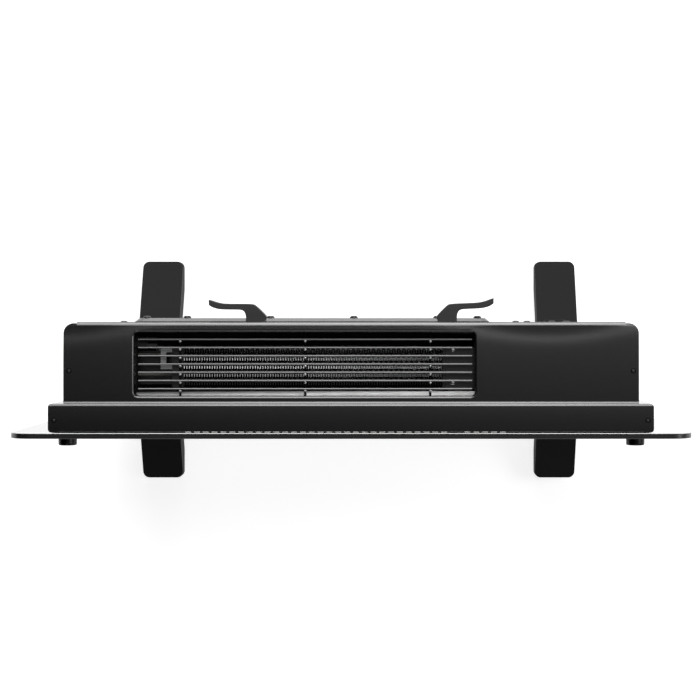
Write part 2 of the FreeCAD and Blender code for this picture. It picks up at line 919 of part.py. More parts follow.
def end_plate_right():
    plate_right = end_plate(opening_right, 1)
    hub = Vector(opening_right - sheet, wheel_y, wheel_z)
    cuts = [rod(hub, hub + Vector(3 * sheet, 0, 0), 2 * shaft_radius)]
    for y, z in motor_bolt_places():
        start = Vector(opening_right - sheet, y, z)
        cuts.append(rod(start, start + Vector(3 * sheet, 0, 0), motor_bolt_radius + hole_gap))
    return plate_right.cut(cuts)


def blade_section():
    """Curved blade outline at the rear of the wheel, as (Y, Z) offsets from the axis."""
    inner = wheel_radius - blade_depth
    middle = wheel_radius - blade_depth / 2
    back = [(inner, 0), (middle, blade_curve), (wheel_radius - blade_thickness, 0)]
    return back + [(y, z + blade_thickness) for y, z in back[::-1]]


def blower_wheel():
    """Cross-flow wheel: two end discs with hubs, and curved blades from end to end."""
    x = span(opening_middle, wheel_length)
    outline = [(wheel_y + y, wheel_z + z) for y, z in blade_section()]
    blade = plate(outline, [0] * len(outline), "X", x)
    parts = []
    for start, way in ((x[0], 1), (x[1], -1)):
        hub = Vector(start, wheel_y, wheel_z)
        parts.append(rod(hub, hub + Vector(way * wheel_disc, 0, 0), wheel_radius, blade_count))
        parts.append(rod(hub, hub + Vector(way * wheel_hub_length, 0, 0), wheel_hub_radius))
    for index in range(blade_count):
        copy = blade.copy()
        copy.rotate(Vector(0, wheel_y, wheel_z), Vector(1, 0, 0), index * 360 / blade_count)
        parts.append(copy)
    ends = [Vector(place, wheel_y, wheel_z) for place in x]
    return joined(parts).cut(round_rod(ends[0], ends[1], shaft_radius))


def blower_shaft():
    left = Vector(opening_left - sheet - shaft_tail, wheel_y, wheel_z)
    right = Vector(motor_end, wheel_y, wheel_z)
    return round_rod(left, right, shaft_radius)


def bearing_mount():
    """Rubber ring pressed into the left end plate, with a lip on each side."""
    neck = mount_radius - mount_lip
    back = sheet + mount_lip
    profile = [(bush_radius, -mount_lip), (mount_radius, -mount_lip), (mount_radius, 0), (neck, 0)]
    profile += [(neck, sheet), (mount_radius, sheet), (mount_radius, back), (bush_radius, back)]
    return turned(profile, Vector(opening_left, wheel_y, wheel_z), Vector(-1, 0, 0))


def bearing_bush():
    right = Vector(opening_left - sheet / 2 + bush_length / 2, wheel_y, wheel_z)
    left = right - Vector(bush_length, 0, 0)
    reach = Vector(sheet, 0, 0)
    bore = round_rod(right + reach, left - reach, shaft_radius + running_gap)
    return rod(right, left, bush_radius).cut(bore)


# Shaded-pole motor on the right end plate

def motor_stator():
    y = span(wheel_y, stator_depth)
    z = (wheel_z - stator_bottom, wheel_z + stator_top)
    x = (stator_left, stator_right)
    body = block(x, y, z)
    start = Vector(stator_left - sheet, wheel_y, wheel_z)
    reach = Vector(stator_length + 2 * sheet, 0, 0)
    cuts = [rod(start, start + reach, rotor_radius + rotor_gap, round_sides)]
    window = (z[0] + limb_height, z[0] + limb_height + coil_window)
    cuts.append(block((x[0] - sheet, x[1] + sheet), span(wheel_y, coil_depth + 2 * fit_gap), window))
    for y, z in motor_bolt_places():
        bolt = Vector(stator_left - sheet, y, z)
        cuts.append(rod(bolt, bolt + reach, motor_bolt_radius + hole_gap))
    return body.cut(cuts)


def motor_coil():
    low = wheel_z - stator_bottom
    x = (stator_left - coil_overhang, stator_right + coil_overhang)
    z = (wheel_z - coil_bottom, low + limb_height + coil_window - fit_gap)
    limb = block((stator_left, stator_right), span(wheel_y, coil_depth + 2 * sheet), (low, low + limb_height))
    return block(x, span(wheel_y, coil_depth), z).cut(limb)


def motor_strap(inner, outward):
    """Strap across one face of the stator, with the boss for a bearing."""
    x = sorted((inner, inner + outward * strap_sheet))
    y = span(wheel_y, stator_depth - 2 * sheet)
    strap = block(x, y, (wheel_z - strap_half, wheel_z + strap_top))
    hub = Vector(inner, wheel_y, wheel_z)
    boss = rod(hub, hub + Vector(outward * (strap_sheet + boss_length), 0, 0), boss_radius)
    reach = Vector(outward * (strap_sheet + boss_length + sheet), 0, 0)
    cuts = [round_rod(hub - Vector(outward * sheet, 0, 0), hub + reach, shaft_radius + running_gap)]
    for y, z in motor_bolt_places():
        bolt = Vector(inner - outward * sheet, y, z)
        end = bolt + Vector(outward * (strap_sheet + 2 * sheet), 0, 0)
        cuts.append(rod(bolt, end, motor_bolt_radius + hole_gap))
    return joined([strap, boss]).cut(cuts)


def motor_straps():
    return [motor_strap(stator_left, -1), motor_strap(stator_right, 1)]


def motor_bolts():
    """Two bolts through stator and straps, each with a spacer against the end plate."""
    bolts = []
    head = stator_right + strap_sheet
    for y, z in motor_bolt_places():
        shank = rod(Vector(opening_right - sheet, y, z), Vector(head, y, z), motor_bolt_radius)
        cap = rod(Vector(head, y, z), Vector(head + motor_bolt_radius, y, z), spacer_radius)
        wall = Vector(opening_right + sheet, y, z)
        spacer = rod(wall, Vector(stator_left - strap_sheet, y, z), spacer_radius)
        bolts.append(joined([shank, cap, spacer]))
    return bolts


def motor_rotor():
    left = Vector(stator_left, wheel_y, wheel_z)
    right = Vector(stator_right, wheel_y, wheel_z)
    core = rod(left, right, rotor_radius, round_sides)
    return core.cut(round_rod(left, right, shaft_radius))


# Mains inlet and switch

def gland_place():
    return Vector(gland_x, rear_face, body_bottom + gland_rise)


def cord_gland():
    """Bush in the rear wall with a round bore for a cord."""
    inner = -sheet - gland_nut_height - sheet
    edge = gland_radius - sheet
    profile = [(0, inner), (gland_neck, inner), (gland_neck, 0), (gland_radius, 0)]
    profile += [(gland_radius, gland_flange - sheet), (edge, gland_flange), (0, gland_flange)]
    reach = Vector(0, gland_nut_radius, 0)
    bore = round_rod(gland_place() - reach, gland_place() + reach, gland_bore)
    return turned(profile, gland_place(), Vector(0, 1, 0), round_sides).cut(bore)


def gland_nut():
    start = gland_place() - Vector(0, sheet, 0)
    bore = gland_neck + hole_gap / 3
    return ring(gland_nut_radius, bore, start, Vector(0, -1, 0), gland_nut_height, round_sides)


def switch_spans(margin):
    """Spans across Y and Z of the switch body."""
    y = span((casing_rear + rear_face) / 2, switch_depth + 2 * margin)
    z = span(body_bottom + switch_rise, switch_length + 2 * margin)
    return y, z


def pivot_place():
    y, z = switch_spans(0)
    return Vector(body_width / 2 + bezel_height - pivot_depth, (y[0] + y[1]) / 2, (z[0] + z[1]) / 2)


def switch_housing():
    y, z = switch_spans(0)
    wall = body_width / 2
    body = block((wall - switch_reach, wall), y, z)
    bezel_y, bezel_z = switch_spans(bezel_margin)
    bezel = block((wall, wall + bezel_height), bezel_y, bezel_z)
    well_y, well_z = switch_spans(-well_margin)
    well = block((wall + bezel_height - well_depth, wall + bezel_height + sheet), well_y, well_z)
    pivot = pivot_place()
    reach = Vector(0, switch_depth / 2 - well_margin + pin_length + hole_gap, 0)
    holes = round_rod(pivot - reach, pivot + reach, pin_radius + running_gap)
    return joined([body, bezel]).cut([well, holes])


def switch_rocker():
    y, z = switch_spans(-well_margin - rocker_gap)
    pivot = pivot_place()
    turn = math.radians(rocker_tilt)
    low = pivot.x - rocker_base
    high = pivot.x + rocker_rise
    crown = high + rocker_crown
    long_half = (z[1] - pivot.z - rocker_base * math.sin(turn)) / math.cos(turn)
    short_half = (z[1] - pivot.z - (crown - pivot.x) * math.sin(turn)) / math.cos(turn)
    points = [(low, pivot.z - long_half), (crown, pivot.z - short_half), (high, pivot.z)]
    points += [(crown, pivot.z + short_half), (low, pivot.z + long_half)]
    body = plate(points, [0, 0, rocker_sweep, 0, 0], "Y", y)
    reach = Vector(0, switch_depth / 2 - well_margin + pin_length, 0)
    rocker = joined([body, round_rod(pivot - reach, pivot + reach, pin_radius)])
    rocker.rotate(pivot, Vector(0, 1, 0), rocker_tilt)
    return rocker


# Control parts in the right end of the body

def control_bracket():
    x = (bracket_left, bracket_right)
    return block(x, (rear_inner - sheet, rear_inner), (bracket_bottom, bracket_top))


def board_spans():
    x = (bracket_left + board_side, bracket_right - board_side)
    z = (bracket_top - board_inset - board_height, bracket_top - board_inset)
    back = rear_inner - sheet - post_length
    return x, (back - board_thickness, back), z


def control_board():
    x, y, z = board_spans()
    return block(x, y, z)


def board_posts():
    x, y, z = board_spans()
    posts = []
    for px in (x[0] + post_inset, x[1] - post_inset):
        for pz in (z[0] + post_inset, z[1] - post_inset):
            posts.append(rod(Vector(px, y[1], pz), Vector(px, y[1] + post_length, pz), post_radius))
    return posts


def board_parts():
    """Relays, transformer and terminal block, soldered to the front of the board."""
    x, y, z = board_spans()
    front = y[0]
    top = z[1] - post_inset
    parts = []
    for index in range(2):
        left = x[0] + post_inset + index * relay_pitch
        parts.append(block((left, left + relay_width), (front - relay_depth, front),
                           (top - relay_height, top)))
    low = z[0] + post_inset
    right = x[1] - post_inset
    middle = low + block_height + part_gap
    parts.append(block((right - transformer_width, right), (front - transformer_depth, front),
                       (middle, middle + transformer_height)))
    left = x[0] + post_inset
    parts.append(block((left, left + block_width), (front - block_depth, front), (low, low + block_height)))
    return parts


def wire_harness():
    """Wires from the lead block, under the blower and up to the terminal block."""
    x, y, z = board_spans()
    start = lead_block_right - lead_block_length / 2
    end = x[0] + post_inset + block_width / 2
    level = scroll_bottom - end_skirt - harness_drop
    first = Vector(start, harness_y, lead_z - lead_block_height / 2)
    points = [first, Vector(start, harness_y, level), Vector(end, harness_y, level)]
    points.append(Vector(end, harness_y, z[0] + post_inset))
    path = rounded_wire(points, [0, harness_bend, harness_bend, 0], False)
    bundle = rod(first, first + Vector(0, 0, harness_radius), harness_radius)
    section = [face for face in bundle.Faces if face.CenterOfMass.isEqual(first, seam_gap)][0].OuterWire
    return path.makePipeShell([section], True, True)


def tilt_switch():
    z = (body_bottom + sheet, body_bottom + sheet + tilt_height)
    middle = (casing_rear + rear_face) / 2
    return block(span(tilt_x, tilt_width), span(middle, tilt_depth), z)


def touch_spans():
    z = span(body_bottom + window_rise + window_height / 2, touch_height)
    front = plate_inner + touch_post
    return span(0, touch_width), (front, front + board_thickness), z


def touch_board():
    x, y, z = touch_spans()
    return block(x, y, z)


def touch_posts():
    x, y, z = touch_spans()
    posts = []
    for px in (x[0] + post_inset, x[1] - post_inset):
        for pz in (z[0] + post_inset / 2, z[1] - post_inset / 2):
            posts.append(rod(Vector(px, plate_inner, pz), Vector(px, y[0], pz), post_radius))
    return posts


# Every node of the assembly, made and written out

def export(node, shape):
    whole = Part.makeCompound(shape) if isinstance(shape, list) else shape
    whole.exportStep("parts/" + node + ".step")


os.makedirs("parts", exist_ok=True)
for make in (glass_panel, glass_caps, glass_studs, glass_washers, front_plate, front_casing, top_panel,
             rear_casing, outlet_grille, rear_cover, foot_left, foot_pads, foot_screws, ptc_fins, ptc_bars,
             ptc_holders, ptc_terminals, element_bracket_left, element_bracket_right, element_leads,
             lead_block, thermal_cutout, scroll_plate, tongue_plate, end_plate_left, end_plate_right,
             blower_wheel, blower_shaft, bearing_mount, bearing_bush, motor_stator, motor_coil,
             motor_straps, motor_bolts, motor_rotor, cord_gland, gland_nut, switch_housing, switch_rocker,
             control_bracket, control_board, board_posts, board_parts, wire_harness, tilt_switch,
             touch_board, touch_posts):
    export(make.__name__, make())
export("foot_right", mirrored(foot_left()))
export("cord_hook_right", cord_hook())
export("cord_hook_left", mirrored(cord_hook()))
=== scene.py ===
# %% [markdown]
# # A glass-fronted ceramic fan heater, seen from straight above
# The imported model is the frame: casing, blower, heating element and feet, all to size. This lesson gives
# it the looks of the real thing: powder-coated steel, a ground glass edge, plated wires and the folded
# fins that glint between them. Each step says what a piece is on the real heater and why it is made so.

# %% Load the frame
import math

import bmesh
import bpy
from mathutils import Matrix, Vector


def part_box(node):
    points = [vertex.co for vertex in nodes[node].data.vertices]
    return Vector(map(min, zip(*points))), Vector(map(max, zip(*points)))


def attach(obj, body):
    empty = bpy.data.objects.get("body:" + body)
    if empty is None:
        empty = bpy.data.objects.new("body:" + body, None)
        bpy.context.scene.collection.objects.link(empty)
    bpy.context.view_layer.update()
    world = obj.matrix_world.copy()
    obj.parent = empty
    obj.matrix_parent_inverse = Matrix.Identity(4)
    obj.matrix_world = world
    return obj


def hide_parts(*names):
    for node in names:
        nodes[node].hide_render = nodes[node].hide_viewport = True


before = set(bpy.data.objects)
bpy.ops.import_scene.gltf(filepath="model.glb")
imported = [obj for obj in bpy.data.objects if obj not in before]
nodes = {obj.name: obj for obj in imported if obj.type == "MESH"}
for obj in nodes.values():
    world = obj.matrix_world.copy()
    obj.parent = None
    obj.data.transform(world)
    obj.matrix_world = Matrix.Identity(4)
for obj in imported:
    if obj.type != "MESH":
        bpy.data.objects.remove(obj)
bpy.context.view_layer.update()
MM = 0.001

# %% [markdown]
# ## The camera
# The photo looks down on the heater, so the camera hangs two metres above the floor and looks straight
# down. Its axis isn't in the middle of the picture. A tilt would make up for that, but upright edges
# would then lean, so the lens is shifted instead.

# %% Camera
PICTURE_SIDE = 700
FOCAL_LENGTH_PX = 1903.7
AXIS_PX = (392.0, 319.6)
CAMERA_PLACE = (35.9, 54.1, 2080.0)
SENSOR_WIDTH = 36.0


def placed(name, data):
    thing = bpy.data.objects.new(name, data)
    bpy.context.scene.collection.objects.link(thing)
    return thing


lens = bpy.data.cameras.new("photo_camera")
lens.sensor_width = SENSOR_WIDTH
lens.lens = FOCAL_LENGTH_PX / PICTURE_SIDE * SENSOR_WIDTH
lens.shift_x = 0.5 - AXIS_PX[0] / PICTURE_SIDE
lens.shift_y = AXIS_PX[1] / PICTURE_SIDE - 0.5
camera = placed("photo_camera", lens)
camera.location = [distance * MM for distance in CAMERA_PLACE]
bpy.context.scene.camera = camera
bpy.context.scene.view_settings.view_transform = "Standard"
print("camera height:", camera.location.z, "lens:", round(lens.lens, 2))

# %% [markdown]
# ## Colours, nodes and pattern sizes
# A colour is easiest to read as the hex code of a paint card, and the renderer wants linear values.
# Shaders and repeated pieces are trees of nodes, so one function adds a node with its values and links.
# A link starts at a node, which means its first output, or at an output by name.
# Pattern sizes are real ones: a grain of half a millimetre is asked for as half a millimetre.

# %% Colours, nodes and pattern sizes
def colour(code):
    channels = [int(code[i:i + 2], 16) / 255 for i in (0, 2, 4)]
    return [c / 12.92 if c <= 0.04045 else ((c + 0.055) / 1.055) ** 2.4 for c in channels] + [1.0]


def link(tree, node, links):
    for socket, source in links.items():
        tree.links.new(getattr(source, "outputs", [source])[0], node.inputs[socket])


def add(tree, kind, values=(), links=(), **settings):
    node = tree.nodes.new(kind)
    for name, value in settings.items():
        setattr(node, name, value)
    for socket, value in dict(values).items():
        node.inputs[socket].default_value = value
    link(tree, node, dict(links))
    return node


def repeats_of(size):
    return 1 / (size * MM)


print("half-millimetre grain:", repeats_of(0.5), "repeats to the metre")

# %% [markdown]
# ## The floor
# The heater stands on a sweep that is lit until it is nearly paper white. Stronger lamps would do that,
# but they would wash out the black casing, so the floor gets an extra glow that only camera, mirror and
# glass rays see.

# %% Floor
FLOOR_REACH = 30.0
FLOOR_GLOW = 0.76
FLOOR_WHITE = "c8c8c8"

floor_paint = bpy.data.materials.new("white_painted_floor")
floor_paint.use_nodes = True
tree = floor_paint.node_tree
tree.nodes.clear()
path = add(tree, "ShaderNodeLightPath")
seen = path.outputs["Is Camera Ray"]
for ray in ("Is Glossy Ray", "Is Transmission Ray"):
    seen = add(tree, "ShaderNodeMath", links={0: seen, 1: path.outputs[ray]}, operation="MAXIMUM")
strength = add(tree, "ShaderNodeMath", {1: FLOOR_GLOW}, links={0: seen}, operation="MULTIPLY")
glow = add(tree, "ShaderNodeEmission", links={"Strength": strength})
matt = add(tree, "ShaderNodeBsdfDiffuse", {"Color": colour(FLOOR_WHITE)})
both = add(tree, "ShaderNodeAddShader", links={0: glow, 1: matt})
add(tree, "ShaderNodeOutputMaterial", links={"Surface": both})

floor_mesh = bpy.data.meshes.new("white_floor")
floor_mesh.from_pydata([(x * FLOOR_REACH, y * FLOOR_REACH, 0)
                        for x, y in ((-1, -1), (1, -1), (1, 1), (-1, 1))], [], [(0, 1, 2, 3)])
floor_mesh.materials.append(floor_paint)
floor = placed("white_floor", floor_mesh)
print("floor reaches", FLOOR_REACH, "m each way")

# %% [markdown]
# ## Lamps
# The highlights tell where the light came from: edges that face the back are brightest, then those that
# face the right, and the front stays dark. One lamp behind would leave a single streak on each bend, so
# three at different heights make a tall softbox. A fourth stands on the right, a weak fifth in front.

# %% Lamps
LAMPS = {"rear_softbox_low": (1.8, 28, (-82, 0, 0)), "rear_softbox_middle": (1.25, 28, (-52, 0, 0)),
         "rear_softbox_high": (1.15, 28, (-25, 0, 0)), "front_softbox": (0.5, 28, (40, 0, 0)),
         "right_softbox": (0.8, 26, (0, 52, 12))}

for name, (power, spread, turn) in LAMPS.items():
    lamp = bpy.data.lights.new(name, "SUN")
    lamp.energy = power
    lamp.angle = math.radians(spread)
    placed(name, lamp).rotation_euler = [math.radians(angle) for angle in turn]
print("lamps:", list(LAMPS))

# %% [markdown]
# ## Sky
# A studio is never quite dark between its lamps. An even grey sky would lift every black alike, so this
# one is bright towards the right and the back and nearly black on the other side.

# %% Sky
SKY_BRIGHT_SIDE = (0.7, 0.6, 0.39)
SKY_FALL = 2.0
SKY_DIM, SKY_GAIN = 0.006, 0.75

sky = bpy.data.worlds.new("studio_sky")
sky.use_nodes = True
bpy.context.scene.world = sky
tree = sky.node_tree
tree.nodes.clear()
direction = add(tree, "ShaderNodeTexCoord")
side = add(tree, "ShaderNodeVectorMath", {1: SKY_BRIGHT_SIDE},
           links={0: direction.outputs["Generated"]}, operation="DOT_PRODUCT")
level = side.outputs["Value"]
for operation, amount in (("MAXIMUM", 0.0), ("POWER", SKY_FALL)):
    level = add(tree, "ShaderNodeMath", {1: amount}, links={0: level}, operation=operation)
level = add(tree, "ShaderNodeMath", {1: SKY_GAIN, 2: SKY_DIM}, links={0: level},
            operation="MULTIPLY_ADD")
light = add(tree, "ShaderNodeBackground", {"Color": colour("ffffff")}, links={"Strength": level})
add(tree, "ShaderNodeOutputWorld", links={"Surface": light})
print("sky from", SKY_DIM, "to", SKY_DIM + SKY_GAIN)

# %% [markdown]
# ## Powder coat
# The casing is steel sheet with a baked powder coat: black, satin, with an orange-peel skin that is only
# felt close up. The eye reads its reflection, so the roughness matters more than the colour. A photograph
# of a coated sheet could be laid on, but it would bring its own light along. So a fine noise moves the
# roughness a little and makes a shallow bump, here and on most finishes.

# %% Powder coat
SKIN_STRENGTH = 0.6
COAT_BLACK = "0d0d0d"
SATIN = {"IOR": 1.6, "Coat Weight": 0.4, "Coat Roughness": 0.12}


def new_finish(name, values):
    material = bpy.data.materials.new(name)
    material.use_nodes = True
    shader = material.node_tree.nodes["Principled BSDF"]
    for socket, value in values.items():
        shader.inputs[socket].default_value = value
    return material, material.node_tree, shader


def skinned(name, code, values, size, depth, dull):
    material, tree, shader = new_finish(name, {"Base Color": colour(code), **values})
    place = add(tree, "ShaderNodeTexCoord")
    skin = add(tree, "ShaderNodeTexNoise", {"Scale": repeats_of(size)},
               links={"Vector": place.outputs["Object"]})
    rough = add(tree, "ShaderNodeMapRange", {"To Min": dull[0], "To Max": dull[1]},
                links={"Value": skin})
    bump = add(tree, "ShaderNodeBump", {"Distance": depth * MM, "Strength": SKIN_STRENGTH},
               links={"Height": skin})
    link(tree, shader, {"Roughness": rough, "Normal": bump})
    return material


# gives the eye a soft black sheet with a faint peel in its highlights
powder_coat = skinned("powder_coated_steel_black_satin", COAT_BLACK, SATIN,
                      size=0.9, depth=0.004, dull=(0.18, 0.24))
print("coat:", powder_coat.name)

# %% [markdown]
# ## The pressed cover's coat
# The intake cover is pressed from the same sheet. Its sloping rim takes a broad sheen, with a dark seam
# where it meets the casing. The gap is too narrow to show from here, so the seam is drawn wider, in the
# coat: the shine starts about one and a half millimetres behind the casing.

# %% Cover coat
SEAM_FROM, SEAM_TO = 52.4, 52.9
SEAM_SHINE = {"Specular IOR Level": 0.5, "Coat Weight": 1.0}

# gives the eye a pressed cover with a grey sheen on its rim and a dark line round it
cover_coat = skinned("powder_coated_steel_pressed_cover", COAT_BLACK, {**SATIN, "Coat Roughness": 0.4},
                     size=0.9, depth=0.01, dull=(0.36, 0.44))
tree = cover_coat.node_tree
place = add(tree, "ShaderNodeTexCoord")
across = add(tree, "ShaderNodeSeparateXYZ", links={0: place.outputs["Object"]})
for socket, shine in SEAM_SHINE.items():
    clear = add(tree, "ShaderNodeMapRange", links={"Value": across.outputs["Y"]}, values={
        "From Min": SEAM_FROM * MM, "From Max": SEAM_TO * MM, "To Max": shine})
    link(tree, tree.nodes["Principled BSDF"], {socket: clear})
print("seam ends between", SEAM_FROM, "and", SEAM_TO, "mm")

# %% [markdown]
# ## Mouldings and rubber
# Feet, gland and switch housing are filled nylon, the hooks acetal, the rocker polished, the holders
# beside the element phenolic, and the pads rubber. All are black and could share one finish, but each
# mould leaves its own grain and shine, and by that the eye tells them apart.

# %% Mouldings and rubber
# gives the eye a duller, slightly grainy black than the sheet beside it
nylon = skinned("glass_filled_nylon_moulded_black", "0e0e0e", {"IOR": 1.53, "Specular IOR Level": 0.16},
                size=0.6, depth=0.03, dull=(0.6, 0.78))
# gives the eye a springy moulding with a soft shine along its curves
hook_nylon = skinned("acetal_moulded_black", "141414", {"IOR": 1.48},
                     size=0.8, depth=0.01, dull=(0.4, 0.5))
# gives the eye a shiny button face beside the dull mouldings
gloss_nylon = skinned("polished_moulded_plastic_black", "121212", {"IOR": 1.5},
                      size=3.0, depth=0.005, dull=(0.1, 0.16))
# gives the eye a dead flat brown-black beside the hot element
heat_moulding = skinned("phenolic_moulding_heat_resistant", "161514",
                        {"IOR": 1.6, "Specular IOR Level": 0.2}, size=0.5, depth=0.02, dull=(0.5, 0.66))
# gives the eye a soft dark pad under each foot
rubber = skinned("nitrile_rubber_pressed_black", "161616", {"IOR": 1.52},
                 size=0.4, depth=0.04, dull=(0.7, 0.86))
print("materials with the mouldings:", len(bpy.data.materials))

# %% [markdown]
# ## Galvanised sheet
# The air duct is galvanised sheet, whose zinc freezes in flakes a few millimetres wide. Noise would blur
# them, so a cell pattern gives each flake its own roughness. The plates beside the element are drawn in
# painted shade: the end plates all over, the scroll and tongue plates from the element's top downwards.

# %% Galvanised sheet
METAL = {"Metallic": 1.0}
FLAKE = 7.0
# painted shade: the duct plates turn to this dark colour below the element's top
DEPTH_SHADE, SHADE_LEAN = "1a1a1a", (0.02, 0.0, 1.0)
SHADE_FROM, SHADE_TO = 384.0, 389.5

# gives the eye zinc flakes that turn lighter and darker from one to the next
galvanised, tree, shader = new_finish("galvanised_steel_spangled", {"Base Color": colour("ededed"), **METAL})
place = add(tree, "ShaderNodeTexCoord")
flakes = add(tree, "ShaderNodeTexVoronoi", {"Scale": repeats_of(FLAKE)},
             links={"Vector": place.outputs["Object"]})
tone = add(tree, "ShaderNodeSeparateColor", links={0: flakes.outputs["Color"]})
dull = add(tree, "ShaderNodeMapRange", {"To Min": 0.7, "To Max": 0.85}, links={"Value": tone})
link(tree, shader, {"Roughness": dull})

# gives the eye a duct wall that is bright at its lip and darker further down, painted shade deep in the duct
shaded_duct_plate = galvanised.copy()
shaded_duct_plate.name = "galvanised_steel_heat_tarnished"
tree = shaded_duct_plate.node_tree
place = add(tree, "ShaderNodeTexCoord")
height = add(tree, "ShaderNodeVectorMath", {1: SHADE_LEAN}, links={0: place.outputs["Object"]},
             operation="DOT_PRODUCT")
unshaded = add(tree, "ShaderNodeMapRange", links={"Value": height.outputs["Value"]},
            values={"From Min": SHADE_FROM * MM, "From Max": SHADE_TO * MM})
tint = add(tree, "ShaderNodeMix", {6: colour(DEPTH_SHADE), 7: colour("ffffff")},
           links={0: unshaded}, data_type="RGBA")
link(tree, tree.nodes["Principled BSDF"], {"Base Color": tint.outputs[2]})

# gives the eye side plates in painted shade, nearly black
shaded_end_plate = skinned("galvanised_steel_heat_darkened", "2c2c2c", METAL,
                    size=5.0, depth=0.01, dull=(0.5, 0.65))
print("sheet:", galvanised.name, shaded_duct_plate.name, shaded_end_plate.name)

# %% [markdown]
# ## The fin strip
# The fins are thin aluminium strip, slit and folded. From above only the cut rims are bright. The walls go
# down into the dark, so they are drawn in painted shade, and so are the folds, the outer rows and the right
# end. Painting each fin would take hundreds of marks, so four masks do it from the place alone: by the
# height, by how far a point is from the lit row and from the middle of its own row, and by how far right it
# is.

# %% Fin strip
# the wall colour and the spans below set where painted shade falls on the fins
RIM_BRIGHT, WALL_SHADE = "fafafa", "0a0a0a"
FIRST_ROW, ROW_STEP, LIT_ROW = -3.0, 7.3, 12.5
RIM, OUTER_ROW_SHADE, FOLD_SHADE, RIGHT_SHADE = (383.4, 384.6), (13.0, 5.5), (1.35, 1.05), (-20.0, 80.0)
SHADED_OUTER_RIM, RIGHT_SHADED_RIM = 0.06, 0.5

# gives the eye bright cut rims over walls in painted shade, with painted shade at the folds, on the outer
# rows and at the right end
fin_strip, tree, shader = new_finish("aluminium_fin_strip_slit_and_folded", {**METAL, "Roughness": 0.8})
place = add(tree, "ShaderNodeTexCoord")
across = add(tree, "ShaderNodeSeparateXYZ", links={0: place.outputs["Object"]}).outputs
off_lit_row = add(tree, "ShaderNodeMath", {1: LIT_ROW * MM}, links={0: across["Y"]},
                operation="SUBTRACT")
off_lit_row = add(tree, "ShaderNodeMath", links={0: off_lit_row}, operation="ABSOLUTE")
off_row = add(tree, "ShaderNodeMath", {1: FIRST_ROW * MM}, links={0: across["Y"]},
              operation="SUBTRACT")
off_row = add(tree, "ShaderNodeMath", {1: ROW_STEP / 2 * MM}, links={0: off_row},
              operation="PINGPONG")
painted_light = None
# painted shade: the masks darken the walls below the rims, the folds, the rows away from the lit row and the
# right end
for source, (start, stop), (least, most) in ((across["Z"], RIM, (0.0, 1.0)),
                                             (off_lit_row, OUTER_ROW_SHADE, (SHADED_OUTER_RIM, 1.0)),
                                             (off_row, FOLD_SHADE, (0.0, 1.0)),
                                             (across["X"], RIGHT_SHADE, (1.0, RIGHT_SHADED_RIM))):
    mask = add(tree, "ShaderNodeMapRange", links={"Value": source}, values={
        "From Min": start * MM, "From Max": stop * MM, "To Min": least, "To Max": most})
    if painted_light:
        mask = add(tree, "ShaderNodeMath", links={0: painted_light, 1: mask}, operation="MULTIPLY")
    painted_light = mask
tint = add(tree, "ShaderNodeMix", {6: colour(WALL_SHADE), 7: colour(RIM_BRIGHT)},
           links={0: painted_light}, data_type="RGBA").outputs[2]
link(tree, shader, {"Base Color": tint, "Specular Tint": tint})
print("fin rows from", FIRST_ROW, "mm, one every", ROW_STEP, "mm")

# %% [markdown]
# ## Wheel, wires and screws
# The blower wheel is rolled aluminium, with lines along the strip: noise squeezed across them is enough.
# Wires, screws and caps are plated or blackened steel. Metals get their look from what they reflect, so a
# dark plating needs a dark base colour and no paint over it.

# %% Wheel, wires and screws
ROLLED_LINE, LINE_SQUEEZE = 4.0, (1.0, 1.0, 14.0)

# gives the eye rolled strip with fine lines along it
aluminium, tree, shader = new_finish("aluminium_strip_rolled_bright",
                                     {"Base Color": colour("e2e3e4"), **METAL})
place = add(tree, "ShaderNodeTexCoord")
squeezed = add(tree, "ShaderNodeMapping", {"Scale": LINE_SQUEEZE},
               links={"Vector": place.outputs["Object"]})
lines = add(tree, "ShaderNodeTexNoise", {"Scale": repeats_of(ROLLED_LINE)},
            links={"Vector": squeezed})
dull = add(tree, "ShaderNodeMapRange", {"To Min": 0.42, "To Max": 0.58}, links={"Value": lines})
link(tree, shader, {"Roughness": dull})

# gives the eye dark plated wire with a thin light line along its top
nickel = new_finish("nickel_plated_drawn_wire",
                    {"Base Color": colour("5e5e5e"), **METAL, "Roughness": 0.3})[0]
# gives the eye a rod or a screw's cup in painted shade, near black beside bright edges
shade_black = new_finish("steel_black_dipped", {"Base Color": colour("050505"), "IOR": 1.5, "Roughness": 0.6,
                                           "Specular IOR Level": 0.04})[0]
# gives the eye bright weld beads, rivets, bolts and motor plates
zinc = skinned("zinc_plated_steel_passivated", "b7b8ba", METAL, size=1.5, depth=0.004, dull=(0.24, 0.4))
# gives the eye a dark screw head with a soft steel shine
black_oxide = skinned("steel_screw_blackened", "3b3b3b", METAL, size=0.8, depth=0.006, dull=(0.3, 0.46))
# gives the eye a turned cap with a dark chrome face
dark_chrome = skinned("turned_cap_black_nickel", "2c2c2c", METAL, size=1.2, depth=0.003, dull=(0.22, 0.34))
print("materials with the plated metals:", len(bpy.data.materials))

# %% [markdown]
# ## Terminals and winding
# The element's terminals are tinned brass strip that the heat has dulled, and the motor's winding is
# enamelled copper. The wire of such a winding is a few tenths of a millimetre thick, too fine to show,
# so its turns are drawn 2 mm wide by a wave, which is steadier than noise.

# %% Terminals and winding
WINDING_TURN, WINDING_DEPTH = 2.0, 0.2
WAVE_RADIANS = 20

# gives the eye a tinned strip that has gone grey with heat
brass = skinned("brass_strip_tinned_and_dulled", "8a8a8a", METAL, size=2.0, depth=0.004, dull=(0.28, 0.44))
